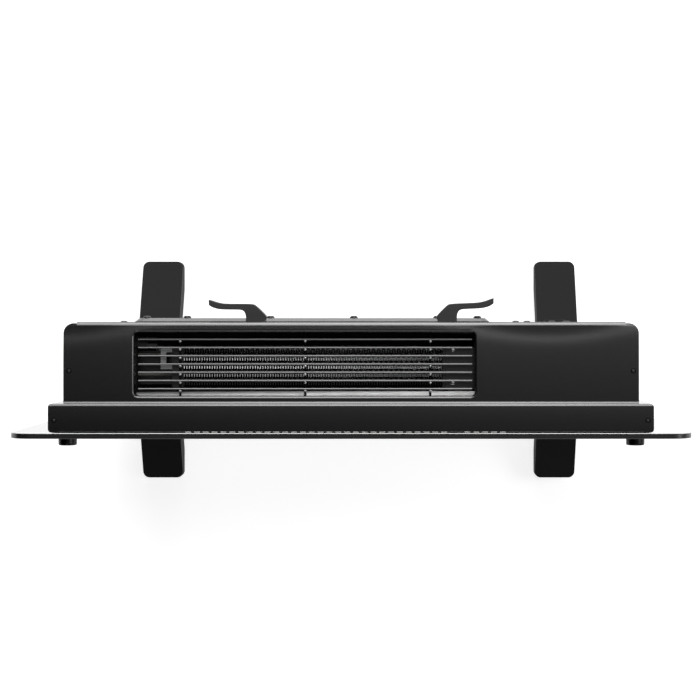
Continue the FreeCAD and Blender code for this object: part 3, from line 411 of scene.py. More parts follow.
# gives the eye the even, varnished turns of a motor winding, drawn coarser than the real wire
copper, tree, shader = new_finish("copper_winding_enamelled",
                                  {"Base Color": colour("a3532a"), **METAL, "Roughness": 0.3})
place = add(tree, "ShaderNodeTexCoord")
turns = add(tree, "ShaderNodeTexWave", links={"Vector": place.outputs["Object"]}, bands_direction="X",
            values={"Scale": repeats_of(WINDING_TURN) * math.tau / WAVE_RADIANS, "Distortion": 0.4})
bump = add(tree, "ShaderNodeBump", {"Distance": WINDING_DEPTH * MM}, links={"Height": turns})
link(tree, shader, {"Normal": bump})
print("terminals:", brass.name, "winding:", copper.name)

# %% [markdown]
# ## Glass
# The front is toughened glass printed black on its back, so its faces mirror like a dark pool. Its ground
# edge is a shade greyer, and the rear arris is a matt line drawn pale as a painted highlight. Clear glass
# over a black sheet would be noisier, and nothing is seen through it, so it is one opaque gloss black whose
# edge is told apart by how far back a point lies.

# %% Glass
GLASS_BLACK, EDGE_GREY, ARRIS_HIGHLIGHT = "040404", "161616", "c5c5c5"
FACE_ROUGH, EDGE_ROUGH, ARRIS_ROUGHER = 0.05, 0.25, 0.35
ARRIS, SKIN = 0.5, 0.02

# gives the eye a black mirror with a thin grey ground edge all round
glass, tree, shader = new_finish("toughened_glass_back_printed_black", {"IOR": 1.52})
glass_front, glass_back = (corner.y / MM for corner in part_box("glass_panel"))
glass_middle, half_glass = (glass_front + glass_back) / 2, (glass_back - glass_front) / 2
place = add(tree, "ShaderNodeTexCoord")
back = add(tree, "ShaderNodeSeparateXYZ", links={0: place.outputs["Object"]}).outputs["Y"]
edge = add(tree, "ShaderNodeMath", {1: glass_middle * MM, 2: (half_glass - SKIN) * MM},
           links={0: back}, operation="COMPARE")
# painted highlight: the rear arris is drawn pale
arris = add(tree, "ShaderNodeMath", {1: (glass_back - ARRIS / 2) * MM, 2: (ARRIS / 2 - SKIN) * MM},
            links={0: back}, operation="COMPARE")
ground = add(tree, "ShaderNodeMix", {6: colour(GLASS_BLACK), 7: colour(EDGE_GREY)},
             links={0: edge}, data_type="RGBA")
tint = add(tree, "ShaderNodeMix", {7: colour(ARRIS_HIGHLIGHT)},
           links={0: arris, 6: ground.outputs[2]}, data_type="RGBA")
satin = add(tree, "ShaderNodeMapRange", {"To Min": FACE_ROUGH, "To Max": EDGE_ROUGH},
            links={"Value": edge})
dull = add(tree, "ShaderNodeMath", {1: ARRIS_ROUGHER}, links={0: arris, 2: satin},
           operation="MULTIPLY_ADD")
link(tree, shader, {"Base Color": tint.outputs[2], "Roughness": dull})
print("glass from", glass_front, "to", glass_back, "mm")

# %% [markdown]
# ## Ceramic, white nylon, sleeves and boards
# The heating stones are pressed ceramic, posts and spacers natural nylon, the hot wires are sleeved in
# silicone, and the boards are green laminate. Little of them shows, so each is one colour with a skin.

# %% Ceramic and electrics
# gives the eye a dark, chalky stone
ceramic = skinned("barium_titanate_ceramic_pressed", "1e1d1b", {"IOR": 1.6},
                  size=0.7, depth=0.02, dull=(0.6, 0.8))
# gives the eye the milky white of a snap-in post
white_nylon = skinned("natural_nylon_moulded_white", "c2c1be", {"IOR": 1.53},
                      size=1.0, depth=0.01, dull=(0.35, 0.5))
# gives the eye a soft grey sleeve
silicone = skinned("silicone_sleeved_wire_grey", "4a4947", {"IOR": 1.43},
                   size=0.8, depth=0.01, dull=(0.45, 0.6))
# gives the eye a green board with a faint unevenness under its mask
board = skinned("glass_epoxy_board_green_mask", "1f4a2c", {"IOR": 1.55},
                size=0.5, depth=0.006, dull=(0.25, 0.38))
print("materials in all:", len(bpy.data.materials))

# %% [markdown]
# ## A finish for every piece of the frame
# The record names a material slot for each piece, so a table from slot to finish dresses them all. Four
# plates beside the element get a finish in painted shade instead. Pieces that are made again further
# down hide their frame piece, and the rest stay as they are here.

# %% Dress the frame
FINISHES = {
    "glass_black": glass, "cap_metal": dark_chrome, "steel_black": powder_coat,
    "steel_galvanised": galvanised, "steel_zinc": zinc, "wire_plated": nickel,
    "aluminium_fin": fin_strip, "aluminium_wheel": aluminium, "ceramic_grey": ceramic,
    "plastic_black": nylon, "plastic_gloss": gloss_nylon, "plastic_heat": heat_moulding,
    "plastic_white": white_nylon, "rubber_black": rubber, "brass_strip": brass,
    "coil_copper": copper, "lead_silicone": silicone, "board_green": board,
}
# painted shade: the end plates all over, the scroll and tongue plates from the element's top down
SHADED_PLATES = {"end_plate_left": shaded_end_plate, "end_plate_right": shaded_end_plate,
                 "scroll_plate": shaded_duct_plate, "tongue_plate": shaded_duct_plate}

slot_of = {}
for name, node in nodes.items():
    slot_of[name] = node.material_slots[0].material.name.split(".")[0]
    for holder in node.material_slots:
        holder.material = SHADED_PLATES.get(name, FINISHES[slot_of[name]])
print("slots in use:", sorted(set(slot_of.values())))

# %% [markdown]
# ## From a working shape to a finished piece
# Every piece made here gets smooth shading across gentle bends, a sharp break at real edges, and normals
# that follow the large faces, so that flat sheet looks flat. Setting each normal by hand would be slow, so
# a modifier weighs them, and its result is kept as a plain mesh.

# %% Shade and settle
SHARP_FROM = math.radians(32)


def shaded(piece):
    mesh = piece.data
    mesh.polygons.foreach_set("use_smooth", [True] * len(mesh.polygons))
    mesh.set_sharp_from_angle(angle=SHARP_FROM)
    weigh = piece.modifiers.new("even_shading", "WEIGHTED_NORMAL")
    weigh.keep_sharp = True
    evaluated = piece.evaluated_get(bpy.context.evaluated_depsgraph_get())
    even = bpy.data.meshes.new_from_object(evaluated)
    piece.modifiers.remove(weigh)
    piece.data = even
    even.name = piece.name


def mesh_of(name, shape):
    mesh = bpy.data.meshes.new(name)
    shape.to_mesh(mesh)
    shape.free()
    return mesh


def settle(name, shape, finish):
    mesh = mesh_of(name, shape)
    mesh.materials.append(finish)
    piece = placed(name, mesh)
    shaded(piece)
    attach(piece, "heater")
    return piece


print("crisp from", round(math.degrees(SHARP_FROM)), "degrees")

# %% [markdown]
# ## The top panel's bends
# The top panel is folded down at the back and turned up at the front. Sheet bends on the real panel are
# wider than the frame's, and they set the width of two bright lines in the photo. A new panel could be
# drawn, but it is simpler to ease the copied one: points on a bend move out from its centre.

# %% Ease the bends
REAR_BEND, FRONT_BEND = Vector((50.0, 404.0)), Vector((-17.5, 407.0))
REAR_GROWTH, FRONT_GROWTH, FRONT_SHIFT = 1.0, 2.0, 2.2
MERGE_WITHIN = 0.002


def ease_panel_bends(shape):
    for vert in shape.verts:
        place = Vector((vert.co.y, vert.co.z)) / MM
        out, turned_up = place - REAR_BEND, place - FRONT_BEND
        if min(out) > -MERGE_WITHIN:
            place = REAR_BEND - Vector((REAR_GROWTH, REAR_GROWTH)) + out * (1 + REAR_GROWTH / out.length)
        elif max(turned_up) < MERGE_WITHIN:
            place = FRONT_BEND + Vector((FRONT_GROWTH - FRONT_SHIFT, FRONT_GROWTH))
            place += turned_up * (1 + FRONT_GROWTH / turned_up.length)
        elif turned_up.x < 0:
            place.x -= FRONT_SHIFT
        vert.co.y, vert.co.z = place * MM


print("bends grow by", REAR_GROWTH, "and", FRONT_GROWTH, "mm")

# %% [markdown]
# ## Bowed sheets
# Thin sheet with folded edges is never flat. The two tops bow up by about a millimetre at most, and the
# panel dips along its rear fold; on satin black that is what bends the highlights. A bump in the coat
# could fake it, but the mesh would stay flat. So each sheet is cut into narrow strips and every point is
# raised by a formula.

# %% Bow the sheets
PANEL_BOW, PANEL_CREST, PANEL_REAR = 0.0004, -5.0, 51.0
DIP_DEPTH, DIP_WIDTH, DIP_LINE, DIP_BOW = 0.35, 7.5, 42.0, 8.0
DIP_CENTRE, DIP_REACH, DIP_SPAN = -44.0, 216.0, 64.0
TRAY_BOW, TRAY_CREST, TRAY_HALF = 0.002, -30.0, 15.0
STRIP_WIDTH, PANEL_STRIP_LENGTH = 2.0, 12.0
ACROSS, BACK = 0, 1


def panel_rise(x, y):
    line = DIP_LINE + DIP_BOW * ((abs(x - DIP_CENTRE) - DIP_REACH) / DIP_SPAN) ** 2
    dip = DIP_DEPTH * math.exp(-((y - line) / DIP_WIDTH) ** 2)
    return PANEL_BOW * ((PANEL_REAR - PANEL_CREST) ** 2 - (y - PANEL_CREST) ** 2) - dip


def tray_rise(x, y):
    return TRAY_BOW * (TRAY_HALF ** 2 - (y - TRAY_CREST) ** 2)


def press_bow(shape, rise, steps):
    for axis, step in steps.items():
        places = [vert.co[axis] / MM for vert in shape.verts]
        for i in range(1, math.ceil((max(places) - min(places)) / step)):
            cut, across = Vector((0, 0, 0)), Vector((0, 0, 0))
            cut[axis], across[axis] = (min(places) + i * step) * MM, 1.0
            bmesh.ops.bisect_plane(shape, geom=[*shape.verts, *shape.edges, *shape.faces],
                                   dist=MERGE_WITHIN * MM, plane_co=cut, plane_no=across)
    bmesh.ops.dissolve_degenerate(shape, dist=MERGE_WITHIN * MM, edges=shape.edges[:])
    for vert in shape.verts:
        vert.co.z += rise(vert.co.x / MM, vert.co.y / MM) * MM


BOWS = {"front_casing": (tray_rise, {BACK: STRIP_WIDTH}),
        "top_panel": (panel_rise, {ACROSS: PANEL_STRIP_LENGTH, BACK: STRIP_WIDTH})}
print("panel rises by", round(panel_rise(0, PANEL_CREST), 2), "mm at its crest")

# %% [markdown]
# ## Rounded edges
# A bent, ground or moulded edge is never quite sharp: it catches a thin line of light, and that line is
# most of what shows on a black object. Modelling each piece anew would only repeat the frame, so each
# outer piece is copied, its sharp edges are rounded by a real radius, and the copy takes its place.

# %% Soften the outer pieces
EDGE_RADII = {"front_casing": 0.3, "rear_casing": 0.3, "top_panel": 0.25, "rear_cover": 0.5,
              "foot_left": 1.0, "foot_right": 1.0, "cord_gland": 0.5, "switch_housing": 0.4,
              "front_plate": 0.2}
OWN_COAT = {"rear_cover": cover_coat}
FLAT_WITHIN = math.radians(0.5)


def joined_copy(node):
    shape = bmesh.new()
    shape.from_mesh(node.data)
    shape.transform(node.matrix_world)
    bmesh.ops.remove_doubles(shape, verts=shape.verts, dist=MERGE_WITHIN * MM)
    bmesh.ops.dissolve_limit(shape, angle_limit=FLAT_WITHIN, verts=shape.verts, edges=shape.edges)
    return shape


for name, radius in EDGE_RADII.items():
    shape = joined_copy(nodes[name])
    if name == "top_panel":
        ease_panel_bends(shape)
    edges = [e for e in shape.edges if e.is_manifold and e.calc_face_angle() > SHARP_FROM]
    bmesh.ops.bevel(shape, geom=edges, offset=radius * MM, offset_type="OFFSET", segments=2,
                    profile=0.5, affect="EDGES", clamp_overlap=True)
    if name in BOWS:
        press_bow(shape, *BOWS[name])
    finish = OWN_COAT.get(name, FINISHES[slot_of[name]])
    piece = settle(name + "_rounded", shape, finish)
    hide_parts(name)
    print(piece.name, "edges rounded:", len(edges), "faces:", len(piece.data.polygons))

# %% [markdown]
# ## Recipes for what repeats
# Wires, fins and screws are the same piece over and over. A loop could copy meshes, but a recipe of
# geometry nodes keeps the sizes as named inputs that a maker would know. A recipe runs once on its start
# points and leaves a plain mesh.

# %% Run a recipe
def new_recipe(name, inputs):
    tree = bpy.data.node_groups.new(name, "GeometryNodeTree")
    tree.interface.new_socket("Start", in_out="INPUT", socket_type="NodeSocketGeometry")
    for label, kind in inputs.items():
        tree.interface.new_socket(label, in_out="INPUT", socket_type="NodeSocket" + kind)
    tree.interface.new_socket("Piece", in_out="OUTPUT", socket_type="NodeSocketGeometry")
    return tree, tree.nodes.new("NodeGroupInput").outputs


def end_recipe(tree, source, finish):
    whole = add(tree, "GeometryNodeRealizeInstances", links={0: source})
    dressed = add(tree, "GeometryNodeSetMaterial", {"Material": finish}, links={"Geometry": whole})
    add(tree, "NodeGroupOutput", links={0: dressed})


def grow(name, tree, values, start=None):
    piece = placed(name, start or bpy.data.meshes.new(name))
    recipe = piece.modifiers.new(tree.name, "NODES")
    recipe.node_group = tree
    for socket in tree.interface.items_tree:
        if socket.in_out == "INPUT" and socket.name in values:
            recipe[socket.identifier] = values[socket.name]
    evaluated = piece.evaluated_get(bpy.context.evaluated_depsgraph_get())
    grown = bpy.data.meshes.new_from_object(evaluated)
    piece.modifiers.remove(recipe)
    piece.data = grown
    shaded(piece)
    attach(piece, "heater")
    print(name, "faces:", len(piece.data.polygons))
    return piece


def points(name, places, facing=None):
    mesh = bpy.data.meshes.new(name)
    mesh.from_pydata([[c * MM for c in place] for place in places], [], [])
    if facing:
        mesh.attributes.new("facing", "FLOAT_VECTOR", "POINT")
        mesh.attributes["facing"].data.foreach_set("vector", [*facing] * len(places))
    return mesh


print("recipes so far:", len(bpy.data.node_groups))

# %% [markdown]
# ## The wire grille
# Seven plated wires run the length of the outlet and are spot welded onto three cross rods, which are
# # drawn near black as painted shade.
# Wires could be curves with a thickness, but they are straight, so a cylinder laid on its side is enough:
# one recipe lays it on every start point, first for the wires and then for the rods.

# %% Grille wires
WIRE_SIDES = 14
ROD_OFFSETS = (-110.8, 0.0, 110.8)
BAR_RADIUS, ROD_RADIUS, BAR_PITCH, BAR_COUNT, REAR_BAR = 0.95, 1.0, 7.32, 7, 36.66


def wire_recipe(name, finish):
    tree, given = new_recipe(name, {"Radius": "Float", "Length": "Float", "Turn": "Vector"})
    wire = add(tree, "GeometryNodeMeshCylinder", {"Vertices": WIRE_SIDES},
               links={"Radius": given["Radius"], "Depth": given["Length"]})
    lying = add(tree, "GeometryNodeTransform", links={"Geometry": wire, "Rotation": given["Turn"]})
    wires = add(tree, "GeometryNodeInstanceOnPoints", links={"Points": given["Start"], "Instance": lying})
    end_recipe(tree, wires, finish)
    return tree


low, high = (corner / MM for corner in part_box("outlet_grille"))
middle = (low + high) / 2
rod_height, bar_height = low.z + ROD_RADIUS, high.z - BAR_RADIUS
bar_rows = [REAR_BAR - i * BAR_PITCH for i in range(BAR_COUNT)]
rod_rows = [middle.x + offset for offset in ROD_OFFSETS]
bars = grow("outlet_grille_bars", wire_recipe("grille_bars", nickel), {
    "Radius": BAR_RADIUS * MM, "Length": (high.x - low.x) * MM, "Turn": (0, math.pi / 2, 0),
}, points("bar_places", [(middle.x, y, bar_height) for y in bar_rows]))
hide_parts("outlet_grille")
# the rods are drawn near black as painted shade
rods = grow("outlet_grille_rods", wire_recipe("grille_rods", shade_black), {
    "Radius": ROD_RADIUS * MM, "Length": (high.y - low.y) * MM, "Turn": (math.pi / 2, 0, 0),
}, points("rod_places", [(x, middle.y, rod_height) for x in rod_rows]))
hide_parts("outlet_grille")

# %% [markdown]
# ## The grille's welds
# Each crossing has a small bead of weld, which glints in the photo. Melting wire and rod together would
# need a heavy mesh, so a flattened ball is set at every crossing, just in front of the wire.

# %% Weld beads
BEAD_SIZE = (1.35, 1.5, 1.0)
BEAD_AHEAD = 1.6

tree, given = new_recipe("weld_beads", {"Bead size": "Vector"})
bead = add(tree, "GeometryNodeMeshUVSphere", {"Segments": 12, "Rings": 8, "Radius": MM})
beads = add(tree, "GeometryNodeInstanceOnPoints", links={
    "Points": given["Start"], "Instance": bead, "Scale": given["Bead size"]})
end_recipe(tree, beads, zinc)
bead_places = [(x, y - BEAD_AHEAD, rod_height + ROD_RADIUS) for x in rod_rows for y in bar_rows]
welds = grow("outlet_grille_welds", tree, {"Bead size": BEAD_SIZE},
             points("bead_places", bead_places))
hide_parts("outlet_grille")

# %% [markdown]
# ## The fold of the fins
# Aluminium strip is folded to and fro and glued between the ceramic bars, five rows of it. The frame has
# every second leg only; here are all of them. Copies of one leg would leave gaps at the folds, so the
# recipe walks along a whole row: two corners to a leg, up one leg and down the next.

# %% Fold of the fins
tree, given = new_recipe("folded_fin_rows", {
    "Legs": "Int", "Leg pitch": "Float", "Fold depth": "Float", "Strip gauge": "Float",
    "Strip height": "Float", "Fold radius": "Float", "Rows": "Int", "Row step": "Vector",
    "First corner": "Vector"})
count = add(tree, "ShaderNodeMath", {1: 2}, links={0: given["Legs"]}, operation="MULTIPLY")
path = add(tree, "GeometryNodeMeshLine", links={"Count": count})
step = add(tree, "GeometryNodeInputIndex")
half = add(tree, "ShaderNodeMath", {1: 0.5}, links={0: step}, operation="MULTIPLY")
leg = add(tree, "ShaderNodeMath", links={0: half}, operation="FLOOR")
along = add(tree, "ShaderNodeMath", links={0: leg, 1: given["Leg pitch"]}, operation="MULTIPLY")
shifted = add(tree, "ShaderNodeMath", {1: 0.5}, links={0: half}, operation="ADD")
turn = add(tree, "ShaderNodeMath", links={0: shifted}, operation="FLOOR")
side = add(tree, "ShaderNodeMath", {1: 2}, links={0: turn}, operation="MODULO")
deep = add(tree, "ShaderNodeMath", links={0: side, 1: given["Fold depth"]}, operation="MULTIPLY")
corner = add(tree, "ShaderNodeCombineXYZ", links={"X": along, "Y": deep})
folded = add(tree, "GeometryNodeSetPosition", links={"Geometry": path, "Position": corner})
curve = add(tree, "GeometryNodeMeshToCurve", links={0: folded})
print("nodes in the fold:", len(tree.nodes))

# %% [markdown]
# ## The rows of fins
# The folded path gets rounded corners and the strip's cross section, and the row is set down five times.
# The strip is drawn thicker than real fin stock, which is about a tenth of a millimetre, because thinner
# rims would be lost between two pixels.

# %% Rows of fins
STRIP_GAUGE = 0.65
FOLD_RADIUS, FOLD_STEPS = 0.75, 3
LEG_PITCH = 2.26
FIN_ROWS = 5
ROW_DEPTH = 4.9

rounded = add(tree, "GeometryNodeFilletCurve", {"Count": FOLD_STEPS},
              links={"Curve": curve, "Radius": given["Fold radius"]}, mode="POLY")
upright = add(tree, "GeometryNodeSetCurveNormal", links={"Curve": rounded}, mode="Z_UP")
section = add(tree, "GeometryNodeCurvePrimitiveQuadrilateral",
              links={"Width": given["Strip gauge"], "Height": given["Strip height"]})
strip = add(tree, "GeometryNodeCurveToMesh", {"Fill Caps": True},
            links={"Curve": upright, "Profile Curve": section})
row = add(tree, "GeometryNodeMeshLine", links={"Count": given["Rows"], "Offset": given["Row step"],
                                               "Start Location": given["First corner"]})
rows = add(tree, "GeometryNodeInstanceOnPoints", links={"Points": row, "Instance": strip})
end_recipe(tree, rows, fin_strip)

low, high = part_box("ptc_fins")
leg_count = round((high.x - low.x) / MM / LEG_PITCH)
fins = grow("folded_fins", tree, {
    "Legs": leg_count, "Leg pitch": LEG_PITCH * MM, "Fold depth": (ROW_DEPTH - STRIP_GAUGE) * MM,
    "Strip gauge": STRIP_GAUGE * MM, "Strip height": high.z - low.z, "Fold radius": FOLD_RADIUS * MM,
    "Rows": FIN_ROWS, "Row step": (0, ROW_STEP * MM, 0),
    "First corner": (low.x + STRIP_GAUGE * MM, low.y + STRIP_GAUGE / 2 * MM, (low.z + high.z) / 2),
})
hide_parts("ptc_fins")

# %% [markdown]
# ## The glass front
# The panel is cut to shape, its corners are ground to a quarter round and both rims get a fine arris so
# that they don't cut. The rear arris is the white hairline that runs across the photo. A bevel on a box
# would leave uneven corners, so the outline is drawn four times and the layers are joined by walls.

# %% Glass panel
GLASS_CORNER = 20.0
CORNER_STEPS = 20

low, high = (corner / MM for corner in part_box("glass_panel"))
left, right = low.x + GLASS_CORNER, high.x - GLASS_CORNER
bottom, top = low.z + GLASS_CORNER, high.z - GLASS_CORNER
shape = bmesh.new()
rims = []
for depth, inset in ((low.y, ARRIS), (low.y + ARRIS, 0.0), (high.y - ARRIS, 0.0), (high.y, ARRIS)):
    radius = GLASS_CORNER - inset
    outline = []
    for turn, (x, z) in enumerate(((right, bottom), (right, top), (left, top), (left, bottom))):
        for i in range(CORNER_STEPS + 1):
            angle = math.radians(-90 + 90 * (turn + i / CORNER_STEPS))
            outline.append((x + radius * math.cos(angle), depth, z + radius * math.sin(angle)))
    rims.append([shape.verts.new([c * MM for c in place]) for place in outline])
for front, back in zip(rims, rims[1:]):
    for i in range(len(front)):
        j = (i + 1) % len(front)
        shape.faces.new((front[i], front[j], back[j], back[i]))
shape.faces.new(rims[0])
shape.faces.new(rims[-1])
bmesh.ops.recalc_face_normals(shape, faces=shape.faces)
panel = settle("glass_front_panel", shape, glass)
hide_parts("glass_panel")
print("glass faces:", len(panel.data.polygons))

# %% [markdown]
# ## Turned heads
# Caps, rivets and screw heads are turned or pressed shapes, so a profile is spun about its axis. A screw
# also gets a cross recess with tapered walls. Cutting it out with a boolean can leave ragged edges, so
# the face is bridged from the round rim to the mouth of the cross.

# %% Turned heads
CROSS_CORNERS = 12
CROSS_TAPER = 0.6


def press_cross(shape, rim, top, reach, width, depth):
    def cross(scale, height):
        long, short = reach * scale, width / 2 * scale
        quarter = [(long, -short), (long, short), (short, short)]
        outline = []
        for k in range(4):
            c, s = math.cos(k * math.pi / 2), math.sin(k * math.pi / 2)
            outline += [(x * c - y * s, x * s + y * c) for x, y in quarter]
        return [shape.verts.new((x * MM, y * MM, height * MM)) for x, y in outline]
    mouth, base = cross(1.0, top), cross(CROSS_TAPER, top - depth)
    loops = [shape.edges.get((rim[i], rim[(i + 1) % len(rim)])) for i in range(len(rim))]
    loops += [shape.edges.new((mouth[i], mouth[(i + 1) % CROSS_CORNERS])) for i in range(CROSS_CORNERS)]
    bmesh.ops.bridge_loops(shape, edges=loops)
    for i in range(CROSS_CORNERS):
        j = (i + 1) % CROSS_CORNERS
        shape.faces.new((mouth[i], mouth[j], base[j], base[i]))
    shape.faces.new(base)


def spun(name, profile, sides, recess=None):
    shape = bmesh.new()
    angles = [math.tau * i / sides for i in range(sides)]
    rings = []
    for radius, height in profile:
        rings.append([shape.verts.new((radius * MM * math.cos(angle), radius * MM * math.sin(angle),
                                       height * MM)) for angle in angles])
    for below, above in zip(rings, rings[1:]):
        for i in range(sides):
            j = (i + 1) % sides
            shape.faces.new((below[i], below[j], above[j], above[i]))
    shape.faces.new(list(reversed(rings[0])))
    if recess:
        press_cross(shape, rings[-1], profile[-1][1], *recess)
    else:
        shape.faces.new(rings[-1])
    bmesh.ops.recalc_face_normals(shape, faces=shape.faces)
    return bpy.data.objects.new(name, mesh_of(name, shape))


print("a cross recess has", CROSS_CORNERS, "corners")

# %% [markdown]
# ## Setting the heads
# Heads could be copied by hand, but then all would be turned alike, and no two screws stop at the same
# angle. So a recipe sets a head on every marked place and gives each its own twist, which is random with a
# fixed seed, so each run is the same.

# %% Set the heads
def set_heads(name, head, finish, places, way, seed):
    tree, given = new_recipe(name, {"Head": "Object", "Seed": "Int"})
    one = add(tree, "GeometryNodeObjectInfo", links={"Object": given["Head"]})
    facing = add(tree, "GeometryNodeInputNamedAttribute", {"Name": "facing"},
                 data_type="FLOAT_VECTOR")
    aim = add(tree, "FunctionNodeAlignRotationToVector", links={"Vector": facing}, axis="Z")
    twist = add(tree, "FunctionNodeRandomValue", {"Max": (0, 0, math.pi)},
                links={"Seed": given["Seed"]}, data_type="FLOAT_VECTOR")
    turn = add(tree, "FunctionNodeRotateRotation", links={0: aim, 1: twist}, rotation_space="LOCAL")
    heads = add(tree, "GeometryNodeInstanceOnPoints", links={
        "Points": given["Start"], "Instance": one.outputs["Geometry"], "Rotation": turn})
    end_recipe(tree, heads, finish)
    return grow(name, tree, {"Head": head, "Seed": seed}, points(name + "_places", places, way))


TO_FRONT, TO_REAR, UP = (0, -1, 0), (0, 1, 0), (0, 0, 1)
print("heads face", TO_FRONT, TO_REAR, "or", UP)

# %% [markdown]
# ## Caps on the glass
# Four turned caps screw onto studs and hold the glass; each has a rounded rim and a shallow dish in its
# face. The frame's caps are plain and have flat sides, so these are spun finer and take their place.

# %% Glass caps
CAP_RADIUS, CAP_SIDES = 8.2, 40
CAP_PROFILE = [(7.4, 0.0), (8.0, 0.25), (8.2, 0.8), (8.2, 5.8), (8.05, 6.4), (7.7, 6.9), (7.1, 7.15),
               (6.4, 7.2), (5.9, 7.0), (5.2, 6.9), (2.0, 6.85)]

low, high = (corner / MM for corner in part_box("glass_caps"))
cap_places = [(x, high.y, z) for x in (low.x + CAP_RADIUS, high.x - CAP_RADIUS)
              for z in (low.z + CAP_RADIUS, high.z - CAP_RADIUS)]
cap = spun("turned_cap", CAP_PROFILE, CAP_SIDES)
caps = set_heads("glass_caps_turned", cap, dark_chrome, cap_places, TO_FRONT, seed=3)
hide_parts("glass_caps")

# %% [markdown]
# ## Screws on the back
# The intake cover and the inner brackets are held by small pan heads, blackened to match the casing. Their
# upper row stands out against the floor in the photo, so they are real heads and not marks in the coat.

# %% Rear screws
PAN_HEAD = [(3.6, 0.0), (3.6, 0.4), (3.3, 1.1), (2.6, 1.75), (1.9, 2.05)]
PAN_RECESS = (1.5, 0.6, 0.9)
SCREW_SIDES = 24
COVER_FACE, COVER_MIDDLE, COVER_ROW, COVER_STEPS = 55.5, -36, 364.0, (37.5, 112.5, 148.8)
CASING_FACE, CASING_COLUMNS, CASING_ROWS = 51.0, (157.4, 193.0, -205.5), (364.5, 207.5)

rear_places = [(COVER_MIDDLE + side * step, COVER_FACE, COVER_ROW)
               for step in COVER_STEPS for side in (-1, 1)]
rear_places += [(x, CASING_FACE, z) for x in CASING_COLUMNS for z in CASING_ROWS]
pan_head = spun("pan_head", PAN_HEAD, SCREW_SIDES, PAN_RECESS)
set_heads("rear_screws", pan_head, black_oxide, rear_places, TO_REAR, seed=11)
print("rear screws:", len(rear_places))

# %% [markdown]
# ## Screws and rivets on top
# The corners of the two tops have small sunk screws. Each is a cup in painted shade with a blackened head
# in it: a bare head on the sheet would shine as a white dot. The element's bracket is held by two bright
# rivets.

# %% Top screws and rivets
SUNK_CUP = [(1.6, -0.6), (2.3, 0.02), (2.2, 0.06)]
SUNK_HEAD = [(1.2, 0.0), (1.4, 0.12), (1.3, 0.3), (1.0, 0.4)]
SUNK_RECESS = (0.8, 0.3, 0.25)
RIVET_HEAD = [(2.0, 0.0), (2.05, 0.3), (1.7, 0.8), (1.0, 1.1), (0.4, 1.18)]
RIVET_SIDES, RIVET_COLUMN, RIVET_ROWS = 20, 90.0, (27.2, -2.0)
TOP_SCREWS = ((259.6, -34.0, 416.0, tray_rise), (248.0, 9.0, 406.0, panel_rise))

top_places = [(x, y, z + rise(x, y)) for reach, y, z, rise in TOP_SCREWS for x in (-reach, reach)]
sunk_cup = spun("sunk_cup", SUNK_CUP, SCREW_SIDES)
sunk_head = spun("sunk_head", SUNK_HEAD, SCREW_SIDES, SUNK_RECESS)
# the cups are drawn near black as painted shade in their recess
for name, head, finish in (("top_screw_cups", sunk_cup, shade_black), ("top_screws", sunk_head, black_oxide)):
    set_heads(name, head, finish, top_places, UP, seed=5)

bracket_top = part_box("element_bracket_right")[1].z / MM
rivet_places = [(RIVET_COLUMN, y, bracket_top) for y in RIVET_ROWS]
rivet = spun("rivet_head", RIVET_HEAD, RIVET_SIDES)
set_heads("bracket_rivets", rivet, zinc, rivet_places, UP, seed=2)
print("top screws:", len(top_places), "rivets:", len(rivet_places))

# %% [markdown]
# ## The hooks' outline
# Each hook on the back is one moulding: a root, a sloped back and a springy arm that curls away at its end
# so that the cord slips in. A curve object could draw that outline, but few points whose corners are cut
# three times give the same smooth line and stay easy to read. Root and tip keep their sharp corners.

# %% Outline of a hook
HOOK_OUTLINE = [(76.7, 51.0), (76.7, 54.6), (75.4, 55.4), (75.4, 57.4), (85.6, 67.2), (88.7, 68.2),
                (104.6, 68.2), (114.4, 68.4), (120.1, 69.7), (126.9, 71.9), (126.7, 67.0), (123.6, 64.9),
                (118.0, 63.3), (111.0, 63.0), (99.5, 63.0), (95.6, 62.0), (93.7, 58.0), (93.7, 51.0)]
HOOK_KEPT = {0, 9, 10, 17}
CORNER_CUTS, CUT_AT = 3, 0.25


def cut_corners(outline, kept):
    cut = []
    for i, here in enumerate(outline):
        if i in kept:
            cut.append((here, True))
            continue
        for there in (outline[i - 1], outline[(i + 1) % len(outline)]):
            cut.append((tuple((1 - CUT_AT) * h + CUT_AT * o for h, o in zip(here, there)), False))
    return [place for place, _ in cut], {i for i, (_, sharp) in enumerate(cut) if sharp}


hook_outline, hook_kept = HOOK_OUTLINE, HOOK_KEPT
for _ in range(CORNER_CUTS):
    hook_outline, hook_kept = cut_corners(hook_outline, hook_kept)
print("points of a hook:", len(HOOK_OUTLINE), "smoothed to", len(hook_outline))

# %% [markdown]
# ## Cord hooks
# The outline is pushed up to the hook's height and its rims are rounded, as a mould would leave them. The
# left hook is the mirror of the right, which leans by two degrees in the photo, as a clipped-in hook may.

# %% Hooks
HOOK_ROOT = (85.0, 51.0)
HOOK_RIM = 0.7
HOOK_LEAN = {"cord_hook_left": 0.0, "cord_hook_right": 2.0}

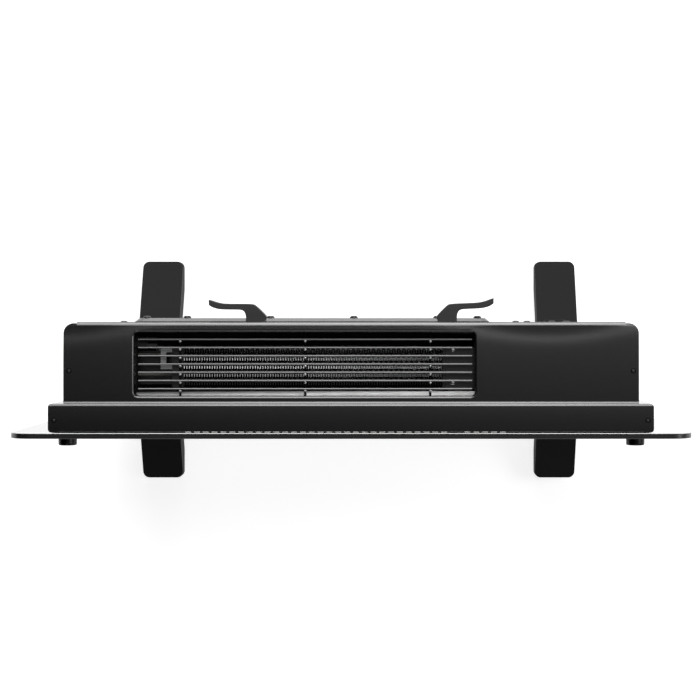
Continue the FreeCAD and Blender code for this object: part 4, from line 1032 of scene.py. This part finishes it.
for name, lean in HOOK_LEAN.items():
    low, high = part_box(name)
    side = -1 if high.x < 0 else 1
    turn = Matrix.Rotation(math.radians(lean), 3, "Z")
    root = Vector((side * HOOK_ROOT[0], HOOK_ROOT[1], 0))
    foot = Vector((0, 0, low.z))
    shape = bmesh.new()
    rim = [shape.verts.new((turn @ (Vector((side * x, y, 0)) - root) + root) * MM + foot)
           for x, y in hook_outline]
    base = shape.faces.new(rim)
    grown = bmesh.ops.extrude_face_region(shape, geom=[base])["geom"]
    bmesh.ops.translate(shape, verts=[g for g in grown if isinstance(g, bmesh.types.BMVert)],
                        vec=(0, 0, high.z - low.z))
    bmesh.ops.recalc_face_normals(shape, faces=shape.faces)
    edges = [e for e in shape.edges if e.calc_face_angle() > SHARP_FROM]
    bmesh.ops.bevel(shape, geom=edges, offset=HOOK_RIM * MM, segments=3, profile=0.5, affect="EDGES",
                    clamp_overlap=True)
    piece = settle(name + "_moulded", shape, hook_nylon)
    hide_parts(name)
    print(piece.name, "faces:", len(piece.data.polygons))

# %% [markdown]
# ## The spacer comb
# A comb of natural nylon sits in the vent notches and keeps the glass clear of the steel. Only the tips
# of its teeth show from above, as a row of pale dashes along the glass, so only they are made. One tooth
# is a small block with its edges rounded, and a recipe sets it into every notch.

# %% Spacer teeth
TOOTH = (5.2, 0.9, 4.0)
TOOTH_ROUND = 0.25
TOOTH_PLACE = (-44.3, 413.6)
VENT_PITCH, VENT_WIDTH = 7.72, 5.4
VENT_GROUPS = ((-145.1, 30), (99.2, 5))

shape = bmesh.new()
bmesh.ops.create_cube(shape, size=1.0, matrix=Matrix.Diagonal((*(Vector(TOOTH) * MM), 1)))
bmesh.ops.bevel(shape, geom=shape.edges[:], offset=TOOTH_ROUND * MM, segments=3, profile=0.5,
                affect="EDGES")
tooth = bpy.data.objects.new("spacer_tooth", mesh_of("spacer_tooth", shape))

tree, given = new_recipe("spacer_comb", {"Tooth": "Object"})
one = add(tree, "GeometryNodeObjectInfo", links={"Object": given["Tooth"]})
teeth = add(tree, "GeometryNodeInstanceOnPoints", links={"Points": given["Start"],
                                                         "Instance": one.outputs["Geometry"]})
end_recipe(tree, teeth, white_nylon)
tooth_places = [(start + VENT_WIDTH / 2 + i * VENT_PITCH, *TOOTH_PLACE)
                for start, count in VENT_GROUPS for i in range(count)]
grow("spacer_comb", tree, {"Tooth": tooth}, points("tooth_places", tooth_places))
print("teeth:", len(tooth_places))
